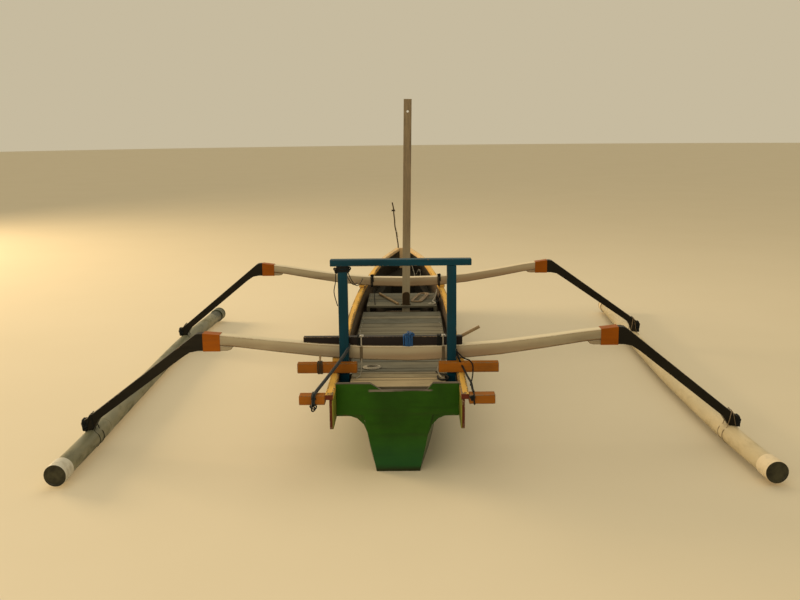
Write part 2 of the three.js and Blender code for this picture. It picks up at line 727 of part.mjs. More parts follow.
for (const [name, side] of SIDES) {
  place(`gallows_post_${name}`, post(side), 'blue');
  place(`bracket_bar_forward_${name}`, forwardBar(side), 'orange');
  place(`bracket_bar_aft_${name}`, aftBar(side), 'orange');
}
place('gallows_crossbar', crossbar(), 'blue');
place('clamp_bar', clampBar(), 'dark');
place('clamp_handle', handle(), 'cream');
for (const row of STAYS) place(row.name, stay(row), 'dark');

const bow = SHEER[SHEER.length - 1];
const staffSeat = bow.top + GAP + STAFF.radius * Math.sin(STAFF.lean);
const staffFoot = [STAFF.x, bow.y + GAP + BOW_BOARD_THICK / 2, staffSeat];
place('bow_staff', bowStaff(), 'dark', staffFoot, [0, -STAFF.lean, 0]);

export default canoe;
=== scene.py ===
import math
import random
from functools import partial

import bmesh
import bpy
from bpy.props import FloatProperty, FloatVectorProperty, IntProperty, PointerProperty
from bpy.types import Operator, Panel, PropertyGroup
from mathutils import Matrix, Vector, noise


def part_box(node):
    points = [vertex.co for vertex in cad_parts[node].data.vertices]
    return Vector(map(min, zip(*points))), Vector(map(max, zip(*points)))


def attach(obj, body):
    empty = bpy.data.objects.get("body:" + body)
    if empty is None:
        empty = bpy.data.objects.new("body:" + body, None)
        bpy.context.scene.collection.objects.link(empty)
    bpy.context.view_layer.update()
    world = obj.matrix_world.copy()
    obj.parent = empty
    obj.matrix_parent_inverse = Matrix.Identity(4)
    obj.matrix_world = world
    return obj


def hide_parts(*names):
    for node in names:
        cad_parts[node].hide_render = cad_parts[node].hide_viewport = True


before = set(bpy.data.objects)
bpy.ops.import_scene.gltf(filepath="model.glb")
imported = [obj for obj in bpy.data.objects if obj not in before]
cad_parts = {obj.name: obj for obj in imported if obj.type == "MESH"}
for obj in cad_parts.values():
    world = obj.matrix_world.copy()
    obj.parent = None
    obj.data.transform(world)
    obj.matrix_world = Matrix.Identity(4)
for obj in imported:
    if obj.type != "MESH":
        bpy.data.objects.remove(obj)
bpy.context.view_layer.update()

bl_info = {
    "name": "Outrigger Canoe",
    "version": (1, 0, 0),
    "blender": (4, 5, 0),
    "location": "View3D > Sidebar > Canoe",
    "description": "Dresses the canoe's frame with paint, weathered wood, floats and rope work",
    "category": "Object",
}

# The frame is in metres: +Y runs to the bow, +X to starboard, and z = 0 is the water.

SIDES = {"port": -1, "starboard": 1}
STATIONS = ("aft", "forward")
DECKS = ("deck_aft", "deck_mid", "deck_forward")
WATER = 0.0
ACROSS, AHEAD, UP = (1, 0, 0), (0, 1, 0), (0, 0, 1)
MERGE = 2e-5  # corners of a solid that are closer are one
SHARP_FROM = math.radians(42)  # edges that turn more are shaded as edges
TURN_STEPS = 26  # points in one turn of a wound cord
KNOT_STEPS, KNOT_STEP = 60, 0.006  # points round a knot, and the distance between them when smooth
FLOOR_REACH = 90
HOLE_STATIONS, WALL_CLEAR = 33, 0.002  # of the floor's opening, and how far it stays off the wall
SKY_TONE, SKY_STRENGTH = (0.92, 0.80, 0.56, 1), 0.62
BOLT_PLACES = (-0.245, 0.302)  # of the clamp bar's bolts, across the boat


# Settings


def colour(label, text, red, green, blue):
    """A colour property, in linear light."""
    return FloatVectorProperty(
        name=label, description=text, subtype="COLOR", size=3, min=0, max=1,
        default=(red, green, blue),
    )


def length(label, text, metres):
    """A length property, in metres."""
    return FloatProperty(
        name=label, description=text, subtype="DISTANCE", unit="LENGTH", default=metres, min=0.0005,
        max=20,
    )


def angle(label, text, degrees):
    """An angle property."""
    return FloatProperty(name=label, description=text, subtype="ANGLE", default=math.radians(degrees))


def power(label, text, watts):
    """A property for the power of a light, in watts."""
    return FloatProperty(name=label, description=text, subtype="POWER", default=watts, min=0)


class CanoePaint(PropertyGroup):
    """Colours of the paints, woods, plastics and ropes."""

    green: colour("Hull green", "Enamel on the hull and the transom", 0.018, 0.075, 0.002)
    side: colour("Red-brown", "Outside and aft ends of the side planks", 0.105, 0.022, 0.01)
    inside: colour("Inside wood", "Bare wood inside the hull", 0.085, 0.062, 0.042)
    tan: colour("Gunwale tan", "Paint on the gunwale caps and the bow board", 0.74, 0.42, 0.082)
    bracket: colour("Bracket orange", "Varnish on the bars at the stern", 0.33, 0.11, 0.008)
    deck: colour("Deck wood", "Weathered planks", 0.36, 0.32, 0.22)
    mast: colour("Mast wood", "Bare weathered mast", 0.27, 0.205, 0.125)
    beam: colour("Beam cream", "Aged paint on the outrigger beams", 0.33, 0.285, 0.195)
    orange: colour("Band orange", "Bands at the ends of the beams", 0.30, 0.078, 0.0005)
    arm: colour("Arm black", "Paint on the outrigger arms", 0.012, 0.010, 0.006)
    blue: colour("Gallows blue", "Paint on the gallows", 0.001, 0.042, 0.072)
    pipe: colour("Float pipe", "Plastic of the floats", 0.60, 0.52, 0.34)
    plug: colour("Float plug", "Dark ends of the floats", 0.028, 0.026, 0.014)
    bar: colour("Clamp bar", "Nearly black wood of the clamp bar", 0.016, 0.012, 0.012)
    dark_rope: colour("Dark rope", "Tarred rope and lashings", 0.007, 0.009, 0.009)
    pale_rope: colour("Pale rope", "Cream and grey cordage", 0.46, 0.42, 0.33)
    tan_rope: colour("Tan rope", "Fibre rope", 0.30, 0.21, 0.11)
    blue_rope: colour("Blue rope", "Bright plastic rope", 0.012, 0.09, 0.28)
    steel: colour("Steel", "Bolts and washers", 0.52, 0.50, 0.46)


class CanoeSizes(PropertyGroup):
    """Sizes of what is added to the frame."""

    edge: length("Edge", "How far the edges of the timbers are rounded", 0.004)
    soft_edge: length("Soft edge", "How far the beams and arms are rounded", 0.012)
    lashing: length("Lashing cord", "Radius of the lashing cord", 0.005)
    rope: length("Rope", "Radius of the mooring and deck ropes", 0.0075)
    twine: length("Twine", "Radius of the thin cords", 0.003)
    nail: length("Nail", "Radius of the nail heads", 0.005)


class CanoeStage(PropertyGroup):
    """Camera and lights."""

    eye: FloatVectorProperty(
        name="Eye", description="Place of the camera", subtype="TRANSLATION", size=3,
        default=(0.095, -7.527, 2.18),
    )
    lens: FloatProperty(
        name="Lens", description="Focal length", default=41.85, min=10, max=200, unit="CAMERA",
    )
    pitch: angle("Pitch", "Tilt below the horizon", 10.72)
    yaw: angle("Yaw", "Turn to port", 0.739)
    roll: angle("Roll", "Turn about the view", -0.65)
    sun: power("Low light", "Power of the warm light", 2250)
    sky: power("High light", "Power of the light above", 160)


class CanoeSettings(PropertyGroup):
    """All the settings of the canoe."""

    paint: PointerProperty(type=CanoePaint, name="Paint", description="Colours")
    sizes: PointerProperty(type=CanoeSizes, name="Sizes", description="Sizes")
    stage: PointerProperty(type=CanoeStage, name="Stage", description="Camera and lights")


def settings():
    """The canoe's settings in the open scene."""
    return bpy.context.scene.canoe


# Materials


class Finish:
    """One procedural material, built node by node on Object coordinates."""

    def __init__(self, name, roughness=0.5, metallic=0.0, coat=0.0, specular=0.5):
        self.material = bpy.data.materials.new(name)
        self.material.use_nodes = True
        self.tree = self.material.node_tree
        self.shader = self.tree.nodes["Principled BSDF"]
        self.shader.inputs["Roughness"].default_value = roughness
        self.shader.inputs["Metallic"].default_value = metallic
        self.shader.inputs["Coat Weight"].default_value = coat
        self.shader.inputs["Coat Roughness"].default_value = 0.25
        self.shader.inputs["Specular IOR Level"].default_value = specular
        self.where = self.add("ShaderNodeTexCoord").outputs["Object"]
        self.x, self.y, self.z = self.add("ShaderNodeSeparateXYZ", self.where).outputs
        facing = self.add("ShaderNodeNewGeometry").outputs["Normal"]
        self.right, self.ahead, self.up = self.add("ShaderNodeSeparateXYZ", facing).outputs

    def add(self, kind, *inputs, **values):
        """A node with its first inputs set or linked in order; values set its properties."""
        node = self.tree.nodes.new(kind)
        for key, value in values.items():
            setattr(node, key, value)
        for socket, value in zip(node.inputs, inputs):
            self.feed(socket, value)
        return node

    def feed(self, socket, value):
        """Links a socket to another, or sets its value."""
        if isinstance(value, bpy.types.NodeSocket):
            self.tree.links.new(value, socket)
        elif value is not None:
            socket.default_value = value

    def calc(self, kind, a, b=None):
        """Result of a math node."""
        return self.add("ShaderNodeMath", a, b, operation=kind).outputs[0]

    def plus(self, a, b, share):
        """a with a share of b added."""
        return self.calc("ADD", a, self.calc("MULTIPLY", b, share))

    def noise(self, scale, stretch=(1, 1, 1), detail=4.0, rough=0.6):
        """Noise from 0 to 1, with stretch telling how much finer it is along each axis."""
        mapped = self.add("ShaderNodeMapping", self.where)
        mapped.inputs["Scale"].default_value = stretch
        node = self.add("ShaderNodeTexNoise", mapped.outputs[0])
        for key, value in (("Scale", scale), ("Detail", detail), ("Roughness", rough)):
            node.inputs[key].default_value = value
        return node.outputs[0]

    def ramp(self, value, low, high, to_low=0.0, to_high=1.0):
        """Value taken smoothly from the range low to high to another range, and held there."""
        node = self.add("ShaderNodeMapRange", interpolation_type="SMOOTHSTEP")
        for key, number in enumerate((value, low, high, to_low, to_high)):
            self.feed(node.inputs[key], number)
        return node.outputs[0]

    def mask(self, *values):
        """Product of several masks."""
        product = values[0]
        for value in values[1:]:
            product = self.calc("MULTIPLY", product, value)
        return product

    def mix(self, share, a, b, kind="MIX"):
        """Colour a turning into colour b."""
        node = self.add("ShaderNodeMix", data_type="RGBA", blend_type=kind)
        self.feed(node.inputs["Factor"], share)
        for key, value in ((6, a), (7, b)):
            if not isinstance(value, bpy.types.NodeSocket):
                value = (*value[:3], 1)
            self.feed(node.inputs[key], value)
        return node.outputs[2]

    def attribute(self, name):
        """Value that the mesh holds under a name."""
        return self.add("ShaderNodeAttribute", attribute_name=name).outputs["Fac"]

    def bump(self, height, distance):
        """Adds a relief, its height in metres at a value of 1."""
        node = self.add("ShaderNodeBump")
        node.inputs["Distance"].default_value = distance
        self.feed(node.inputs["Height"], height)
        normal = self.shader.inputs["Normal"]
        if normal.is_linked:
            self.tree.links.new(normal.links[0].from_socket, node.inputs["Normal"])
        self.tree.links.new(node.outputs[0], normal)

    def done(self, base, roughness=None):
        """The finished material, with its colour and, where given, its roughness."""
        self.feed(self.shader.inputs["Base Color"], base)
        self.feed(self.shader.inputs["Roughness"], roughness)
        return self.material


def tint(base, factor, warm=0.0):
    """A colour made lighter or darker, and warmer where warm is above 0."""
    return tuple(min(1, c * factor * w) for c, w in zip(base, (1 + warm, 1, 1 - warm)))


STRETCH = {"X": (0.09, 1, 1), "Y": (1, 0.09, 1), "Z": (1, 1, 0.09)}
BARE_WOOD = (0.22, 0.155, 0.09)
GREY_WOOD = (0.25, 0.225, 0.175)
# Dark brown for real dirt on painted wood, and for painted shade under the beams.
GRIME_AND_SHADE = (0.035, 0.026, 0.015)
BOW_DARK = (0.012, 0.013, 0.009)
BOW_SHADE = (1.75, 2.3)  # where the wood inside the hull turns to BOW_DARK: the bow well's dark paint with painted shade over it
ROPE_LAY = 0.02
PORT_FLOAT = (-1.2, -1.0, 1, 0)  # ramp across the boat that is 1 on the port float alone


def paint_on_wood(name, base, grain, chips=0.5, gloss=0.42, bare=BARE_WOOD, fade=0.25, coat=0.0):
    """Brushed paint over timber: it fades in clouds, shows the grain, wears through at the edges and
    has a painted highlight on faces turned up.
    """
    f = Finish(name, roughness=gloss, coat=coat, specular=0.12)
    base = tuple(base)
    cloud = f.noise(2.2, detail=5)
    fibre = f.noise(150, STRETCH[grain], detail=6, rough=0.7)
    streak = f.noise(22, STRETCH[grain], detail=4)
    speck = f.noise(75, detail=5, rough=0.75)
    worn = f.attribute("worn_edge")
    paint = f.mix(f.ramp(cloud, 0.35, 0.7), tint(base, 1 - fade), tint(base, 1 + fade))
    paint = f.mix(f.ramp(streak, 0.45, 0.75, 0, 0.5), paint, tint(base, 0.55, 0.1))
    # Painted highlight: faces turned up are made paler.
    paint = f.mix(f.ramp(f.up, 0.3, 0.95, 0, 0.28), paint, tint(base, 1.5))
    chip = f.plus(f.plus(f.calc("MULTIPLY", worn, 0.2), streak, 0.45), speck, 0.55)
    level = 0.78 - 0.2 * chips
    chipped = f.ramp(chip, level, level + 0.035)
    wood = f.mix(f.ramp(fibre, 0.3, 0.7), tint(bare, 0.6), tint(bare, 1.25))
    both = f.mix(chipped, paint, wood)
    dirt = f.ramp(f.noise(6, STRETCH[grain], detail=6, rough=0.7), 0.52, 0.78, 0, 0.6)
    both = f.mix(dirt, both, GRIME_AND_SHADE)
    f.bump(fibre, 0.0006)
    f.bump(f.calc("SUBTRACT", 1.0, chipped), 0.0007)
    return f, both, f.ramp(f.calc("ADD", chipped, dirt), 0, 1, gloss, 0.85)


def hull_enamel(name, base, inside):
    """Green enamel outside, bare stained wood on what faces the centreline, and growth at the water."""
    f, paint, _ = paint_on_wood(
        name, base, "Y", chips=0.1, gloss=0.25, coat=0.12, bare=(0.30, 0.22, 0.11),
    )
    inboard = f.ramp(f.calc("MULTIPLY", f.x, f.right), -0.012, -0.002, 1, 0)
    shelf = f.mask(f.ramp(f.up, 0.5, 0.9), f.ramp(f.z, 0.34, 0.37))
    inboard = f.calc("MAXIMUM", inboard, shelf)
    bow = f.mask(f.ramp(f.ahead, -0.5, -0.2, 1, 0), f.ramp(f.y, 0.6, 0.9))
    inboard = f.calc("MAXIMUM", inboard, f.calc("MAXIMUM", bow, f.ramp(f.up, 0.3, 0.5)))
    run = f.noise(9, (1, 1, 0.25), detail=6, rough=0.72)
    stain = f.ramp(run, 0.5, 0.68, 0, 0.75)
    low = f.ramp(f.plus(f.z, run, -0.12), -0.05, 0.03, 1, 0)
    side = f.mix(stain, paint, (0.10, 0.062, 0.022))
    side = f.mix(f.ramp(run, 0.62, 0.8), side, (0.34, 0.27, 0.13))
    side = f.mix(low, side, (0.016, 0.022, 0.007))
    fibre = f.noise(90, STRETCH["Y"], detail=6)
    wood = f.mix(f.ramp(fibre, 0.3, 0.7), tint(inside, 0.5), tint(inside, 1.3))
    # The bow well darkens: its dark paint with painted shade.
    wood = f.mix(f.mask(f.ramp(f.y, *BOW_SHADE), 0.85), wood, BOW_DARK)
    return f.done(f.mix(inboard, side, wood), f.mix(inboard, (0.32,) * 3, (0.9,) * 3))


def transom_enamel(name, base, inside):
    """Green enamel on the transom, bluer near the water and rubbed to grey wood at its upper edges."""
    f, paint, _ = paint_on_wood(name, base, "X", chips=0.0, gloss=0.4, bare=GREY_WOOD, fade=0.3)
    low = f.ramp(f.z, 0.02, 0.3, 1, 0)
    paint = f.mix(f.mask(low, 0.55), paint, (0.012, 0.075, 0.03))
    rub = f.noise(26, STRETCH["X"], detail=6, rough=0.7)
    lip = f.ramp(f.plus(f.z, rub, 0.03), 0.548, 0.556)
    notch = f.mask(f.ramp(f.x, -0.19, -0.17), f.ramp(f.x, 0.2, 0.23, 1, 0))
    under = f.ramp(f.plus(f.z, rub, 0.026), 0.539, 0.545)
    upper = f.ramp(f.up, 0.25, 0.8)
    bare = f.calc("MAXIMUM", upper, f.mask(notch, under, f.ramp(f.z, 0.536, 0.545, 1, 0)))
    bare = f.calc("MAXIMUM", bare, f.mask(lip, f.ramp(f.z, 0.575, 0.58)))
    both = f.mix(bare, paint, f.mix(f.ramp(rub, 0.3, 0.7), (0.07, 0.055, 0.045), (0.2, 0.17, 0.14)))
    inner = f.ramp(f.ahead, 0.3, 0.7)
    both = f.mix(inner, both, tint(inside, 0.8))
    scum = f.ramp(f.plus(f.z, rub, -0.06), -0.02, 0.015, 1, 0)
    return f.done(f.mix(scum, both, (0.02, 0.026, 0.008)), f.mix(bare, (0.4,) * 3, (0.85,) * 3))


def plank_paint(name, base, inside):
    """Red-brown paint outside and at the ends; inside, bare wood that keeps a little green paint."""
    f, paint, rough = paint_on_wood(name, base, "Y", chips=0.35, gloss=0.4)
    inboard = f.ramp(f.calc("MULTIPLY", f.x, f.right), -0.02, -0.005, 1, 0)
    fibre = f.noise(80, STRETCH["Y"], detail=6, rough=0.7)
    wood = f.mix(f.ramp(fibre, 0.3, 0.72), tint(inside, 0.75), tint(inside, 1.8))
    stern = f.ramp(f.y, -1.86, -1.8, 1, 0)
    green = f.mask(f.ramp(f.noise(4, STRETCH["Y"], detail=6), 0.3, 0.6), stern)
    wood = f.mix(green, wood, (0.21, 0.22, 0.03))
    # The bow well darkens: its dark paint with painted shade.
    wood = f.mix(f.mask(f.ramp(f.y, *BOW_SHADE), 0.85), wood, BOW_DARK)
    return f.done(f.mix(inboard, paint, wood), rough)


def cap_paint(name, base, end):
    """Tan paint on the gunwale caps, with red-brown aft ends."""
    f, paint, rough = paint_on_wood(name, base, "Y", chips=0.45, gloss=0.45, fade=0.18)
    aft = f.mask(f.ramp(f.ahead, -0.8, -0.4, 1, 0), f.ramp(f.y, -2.09, -2.08, 1, 0))
    paint = f.mix(f.ramp(f.y, 2.3, 3.1, 0, 0.6), paint, (0.80, 0.62, 0.40))
    return f.done(f.mix(aft, paint, tuple(end)), rough)


def beam_paint(name, base):
    """Cream paint with pinkish wear, darker below from painted shade, paler along its upper half and on
    its top from painted highlights.
    """
    f, paint, rough = paint_on_wood(
        name, base, "X", chips=0.5, gloss=0.5, bare=(0.26, 0.17, 0.09), fade=0.14,
    )
    pink = f.ramp(f.noise(3.2, STRETCH["X"], detail=5, rough=0.65), 0.42, 0.66, 0, 0.75)
    paint = f.mix(pink, paint, (0.34, 0.225, 0.13))
    # Painted shade: faces turned down are darkened.
    under = f.ramp(f.up, -0.85, -0.2, 0.6, 0)
    paint = f.mix(under, paint, GRIME_AND_SHADE)
    # Painted highlight along the upper half of the beam's face, following its rise towards the ends.
    rise = f.calc("MULTIPLY", f.calc("POWER", f.calc("ABSOLUTE", f.x), 1.7), 0.085)
    share = f.calc("SUBTRACT", f.z, rise)
    share = f.plus(share, f.noise(8, STRETCH["X"], detail=5), 0.03)
    upper = f.mask(f.ramp(share, 0.665, 0.715), f.ramp(f.up, 0.2, 0.6, 1, 0))
    paint = f.mix(f.mask(upper, 0.5), paint, tint(base, 1.7, -0.03))
    # Painted highlight on the faces turned up.
    lit = f.ramp(f.up, 0.35, 0.85, 0, 0.75)
    paint = f.mix(lit, paint, (0.85, 0.76, 0.56))
    return f.done(paint, rough)


def plain_paint(name, base, grain, **more):
    """Brushed paint or bare wood and nothing else."""
    f, paint, rough = paint_on_wood(name, base, grain, **more)
    return f.done(paint, rough)


def deck_wood(name, base):
    """Grey planks with open grain, each in its own tone: the aftmost palest under a painted pool of
    light, those ahead darker under painted shade, and painted shade on faces not turned up.
    """
    f = Finish(name, roughness=0.85, specular=0.15)
    board = f.attribute("board")
    fibre = f.noise(95, STRETCH["X"], detail=7, rough=0.72)
    band = f.noise(14, STRETCH["X"], detail=4)
    stain = f.noise(3.4, (0.6, 1, 1), detail=6, rough=0.7)
    grey = f.mix(f.ramp(fibre, 0.28, 0.72), tint(base, 0.55, 0.06), tint(base, 1.2))
    toned = f.mix(f.ramp(board, 0, 1, 0, 0.75), grey, tint(base, 1.35, 0.14))
    toned = f.mix(f.ramp(band, 0.5, 0.8, 0, 0.5), toned, tint(base, 0.5, 0.1))
    toned = f.mix(f.ramp(stain, 0.5, 0.75, 0, 0.55), toned, (0.085, 0.066, 0.042))
    toned = f.mix(f.mask(f.attribute("worn_edge"), 0.6), toned, tint(base, 0.4))
    # Painted shade: the decks ahead of the aft beam are darkened with a cool tint.
    ahead = f.ramp(f.y, -1.5, -1.42)
    toned = f.mix(ahead, toned, (0.42, 0.48, 0.57), "MULTIPLY")
    # Painted pool of light on the top of the aftmost plank.
    lit = f.mask(f.ramp(f.y, -1.93, -1.92, 1, 0), f.ramp(f.up, 0.6, 0.9))
    toned = f.mix(f.mask(lit, 0.75), toned, (0.66, 0.52, 0.34))
    # Painted shade on faces not turned up.
    painted_side_shade = f.ramp(f.up, 0.2, 0.7, 0.8, 0)
    toned = f.mix(painted_side_shade, toned, tint(base, 0.22))
    f.bump(fibre, 0.0012)
    f.bump(f.ramp(band, 0.55, 0.62), -0.0008)
    return f.done(toned, f.ramp(fibre, 0.3, 0.7, 0.75, 0.95))


def mast_wood(name, base):
    """A bare spar: grey-brown and drier above, paler below, with long drying cracks."""
    f = Finish(name, roughness=0.8)
    fibre = f.noise(120, STRETCH["Z"], detail=7, rough=0.7)
    band = f.noise(30, (1, 1, 0.03), detail=5)
    crack = f.ramp(f.noise(34, (1, 1, 0.025), detail=3, rough=0.5), 0.62, 0.66)
    wood = f.mix(f.ramp(fibre, 0.3, 0.7), tint(base, 0.72), tint(base, 1.15))
    wood = f.mix(f.ramp(band, 0.4, 0.75, 0, 0.55), wood, tint(base, 0.5, 0.12))
    low = f.ramp(f.plus(f.z, band, 0.5), 1.0, 1.6, 1, 0)
    wood = f.mix(f.mask(low, 0.6), wood, (0.36, 0.325, 0.225))
    knot = f.ramp(f.noise(7, (1, 1, 0.5), detail=2), 0.7, 0.76, 0, 0.7)
    wood = f.mix(knot, wood, tint(base, 0.35))
    wood = f.mix(f.mask(crack, 0.8), wood, tint(base, 0.2))
    wood = f.mix(f.mask(f.attribute("worn_edge"), 0.45), wood, tint(base, 0.55, 0.15))
    f.bump(fibre, 0.0009)
    f.bump(crack, -0.002)
    return f.done(wood, f.ramp(fibre, 0.3, 0.7, 0.7, 0.92))


def pipe_plastic(name, base):
    """Weathered pipe: yellowed and scratched along its length, slimy low down; the starboard one
    painted a sunlit gold, the port one in painted shade.
    """
    f = Finish(name, roughness=0.4, specular=0.25)
    cloud = f.noise(2.6, (1, 0.5, 1), detail=5)
    scratch = f.noise(120, (1, 0.03, 1), detail=5, rough=0.7)
    drip = f.noise(9, (1, 0.35, 1), detail=6, rough=0.72)
    body = f.mix(f.ramp(cloud, 0.35, 0.68), tint(base, 0.72, -0.05), tint(base, 1.1, 0.05))
    body = f.mix(f.ramp(scratch, 0.55, 0.72, 0, 0.5), body, tint(base, 0.5))
    body = f.mix(f.ramp(drip, 0.52, 0.72, 0, 0.55), body, (0.12, 0.1, 0.05))
    low = f.ramp(f.plus(f.z, drip, -0.12), -0.04, 0.035, 1, 0)
    body = f.mix(f.mask(low, 0.9), body, (0.035, 0.04, 0.016))
    end = f.plus(f.y, drip, 0.8)
    port = f.ramp(f.x, *PORT_FLOAT)
    weed = f.mask(f.ramp(end, 2.68, 2.92), port)
    # Painted sunlight: the starboard float is turned a warm gold.
    body = f.mix(f.ramp(port, 0, 1, 0.55, 0), body, (0.74, 0.60, 0.36))
    body = f.mix(f.mask(weed, 0.9), body, (0.018, 0.034, 0.008))
    # Painted shade on the port float's faces not turned to port.
    shade = f.mask(port, f.ramp(f.right, -0.75, -0.35))
    body = f.mix(shade, body, (0.40, 0.44, 0.42), "MULTIPLY")
    f.bump(scratch, 0.0003)
    f.bump(drip, 0.0008)
    return f.done(body, f.ramp(drip, 0.4, 0.7, 0.3, 0.7))


def plug_plastic(name, base, collar):
    """The float's end: a pale collar with painted sunlight on the starboard float and painted shade on
    the port one, and a dark, scuffed plug as its flat face.
    """
    f = Finish(name, roughness=0.45, specular=0.2)
    scuff = f.noise(70, detail=6, rough=0.75)
    blot = f.noise(14, detail=5)
    dark = f.mix(f.ramp(blot, 0.35, 0.7), tint(base, 0.7), tint(base, 1.9))
    dark = f.mix(f.ramp(scuff, 0.6, 0.72, 0, 0.4), dark, (0.11, 0.1, 0.075))
    port = f.ramp(f.x, *PORT_FLOAT)
    # Painted light on the collars: warm cream on the starboard float, painted shade grey on the port
    # one.
    collar_sun_and_shade = f.mix(port, (0.84, 0.70, 0.48), (0.60, 0.58, 0.50))
    pale = f.mix(f.ramp(blot, 0.5, 0.75, 0, 0.5), collar_sun_and_shade, tint(collar, 0.5))
    ring = f.mask(f.ramp(f.attribute("seam"), 0.2, 0.8), f.ramp(blot, 0.3, 0.6, 0.4, 1))
    pale = f.mix(ring, pale, (0.11, 0.07, 0.03))
    weed = f.mask(f.ramp(f.y, 2.5, 2.6), port)
    pale = f.mix(f.mask(weed, 0.85), pale, (0.025, 0.04, 0.012))
    end = f.attribute("plug")
    f.bump(scuff, 0.0005)
    return f.done(f.mix(end, pale, dark), f.ramp(scuff, 0.4, 0.7, 0.35, 0.6))


def rope_fibre(name, base, sheen=0.35):
    """Three-strand rope; its strands turn once round in each lay's length."""
    f = Finish(name, roughness=0.8, specular=0.2)
    f.shader.inputs["Sheen Weight"].default_value = sheen
    place = f.add("ShaderNodeSeparateXYZ", f.add("ShaderNodeUVMap").outputs[0]).outputs
    turn = f.calc("ADD", f.calc("DIVIDE", place[0], ROPE_LAY), place[1])
    strand = f.calc("ABSOLUTE", f.calc("SINE", f.calc("MULTIPLY", turn, 3 * math.pi)))
    hair = f.noise(420, detail=4, rough=0.7)
    wear = f.noise(7, detail=4)
    # Painted shade in the grooves between the strands.
    body = f.mix(f.ramp(strand, 0.0, 0.6), tint(base, 0.3), base)
    body = f.mix(f.ramp(hair, 0.4, 0.75, 0, 0.5), body, tint(base, 1.7))
    body = f.mix(f.ramp(wear, 0.45, 0.7, 0, 0.5), body, tint(base, 0.45))
    f.bump(strand, 0.0016)
    f.bump(hair, 0.0006)
    return f.done(body)


def bolt_steel(name, base):
    """Steel with spots of rust."""
    f = Finish(name, roughness=0.35, metallic=1.0)
    rust = f.noise(160, detail=6, rough=0.7)
    body = f.mix(f.ramp(rust, 0.56, 0.7, 0, 0.8), tuple(base), (0.13, 0.045, 0.015))
    f.bump(rust, 0.0004)
    return f.done(body, f.ramp(rust, 0.45, 0.7, 0.28, 0.8))


def floor_cloth(name):
    """Pale, matt ground with faint clouds."""
    f = Finish(name, roughness=0.9, specular=0.2)
    cloud = f.noise(0.6, detail=3)
    return f.done(f.mix(cloud, (0.74, 0.66, 0.50), (0.78, 0.70, 0.54)))


MATERIALS = {
    "hull": lambda p: hull_enamel("hull_enamel", p.green, p.inside),
    "transom": lambda p: transom_enamel("transom_enamel", p.green, p.inside),
    "plank": lambda p: plank_paint("side_plank_paint", p.side, p.inside),
    "cap": lambda p: cap_paint("gunwale_paint", p.tan, p.side),
    "timber": lambda p: plain_paint("inside_wood", p.inside, "X", chips=0.8, gloss=0.8),
    "deck": lambda p: deck_wood("deck_wood", p.deck),
    "mast": lambda p: mast_wood("mast_wood", p.mast),
    "foot": lambda p: plain_paint("mast_foot_wood", (0.045, 0.028, 0.012), "Z", chips=0.5, gloss=0.6),
    "beam": lambda p: beam_paint("beam_paint", p.beam),
    "orange": lambda p: plain_paint("band_paint", p.orange, "X", chips=0.1, gloss=0.42, fade=0.12),
    "arm": lambda p: plain_paint("arm_paint", p.arm, "X", chips=0.12, gloss=0.4, fade=0.3),
    "blue": lambda p: plain_paint("gallows_paint", p.blue, "Z", chips=0.05, gloss=0.38, fade=0.2),
    "blue_bar": lambda p: plain_paint("crossbar_paint", p.blue, "X", chips=0.1, gloss=0.38, fade=0.2),
    "bracket": lambda p: plain_paint(
        "bracket_varnish", p.bracket, "X", chips=0.42, gloss=0.45, fade=0.22,
    ),
    "bar": lambda p: plain_paint("clamp_bar_wood", p.bar, "X", chips=0.3, gloss=0.4),
    "strap": lambda p: plain_paint("strap_webbing", (0.13, 0.10, 0.06), "Z", chips=0.3, gloss=0.7),
    "stick": lambda p: plain_paint("stick_wood", (0.33, 0.235, 0.13), "X", chips=0.5, gloss=0.7),
    "pipe": lambda p: pipe_plastic("float_plastic", p.pipe),
    "plug": lambda p: plug_plastic("float_end_plastic", p.plug, p.pipe),
    "dark_rope": lambda p: rope_fibre("dark_rope", tuple(p.dark_rope), sheen=0.05),
    "pale_rope": lambda p: rope_fibre("pale_rope", tuple(p.pale_rope)),
    "tan_rope": lambda p: rope_fibre("tan_rope", tuple(p.tan_rope)),
    "navy_rope": lambda p: rope_fibre("navy_rope", (0.008, 0.016, 0.021), sheen=0.2),
    "brown_rope": lambda p: rope_fibre("brown_rope", (0.05, 0.032, 0.012), sheen=0.1),
    "blue_rope": lambda p: rope_fibre("blue_rope", tuple(p.blue_rope), sheen=0.2),
    "steel": lambda p: bolt_steel("bolt_steel", p.steel),
}
made_materials = {}


def material(key):
    """The material of that key, made when it is first asked for."""
    if key not in made_materials:
        made_materials[key] = MATERIALS[key](settings().paint)
    return made_materials[key]


# Mesh helpers


def finish_piece(bm, name, key, body="hull", replaces=(), levels=0, second=None):
    """Turns a bmesh into a piece that rides on a body, in its finish and with even shading."""
    mesh = bpy.data.meshes.new(name)
    bm.to_mesh(mesh)
    bm.free()
    if "custom_normal" in mesh.attributes:
        mesh.attributes.remove(mesh.attributes["custom_normal"])
    mesh.materials.append(material(key))
    if second:
        mesh.materials.append(material(second))
    mesh.shade_smooth()
    mesh.set_sharp_from_angle(angle=SHARP_FROM)
    piece = bpy.data.objects.new(name, mesh)
    bpy.context.scene.collection.objects.link(piece)
    if levels:
        rounding = piece.modifiers.new("Smooth curve", "SUBSURF")
        rounding.levels = rounding.render_levels = levels
    evening = piece.modifiers.new("Even shading", "WEIGHTED_NORMAL")
    evening.keep_sharp = True
    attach(piece, body)
    if replaces:
        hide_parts(*replaces)
    return piece


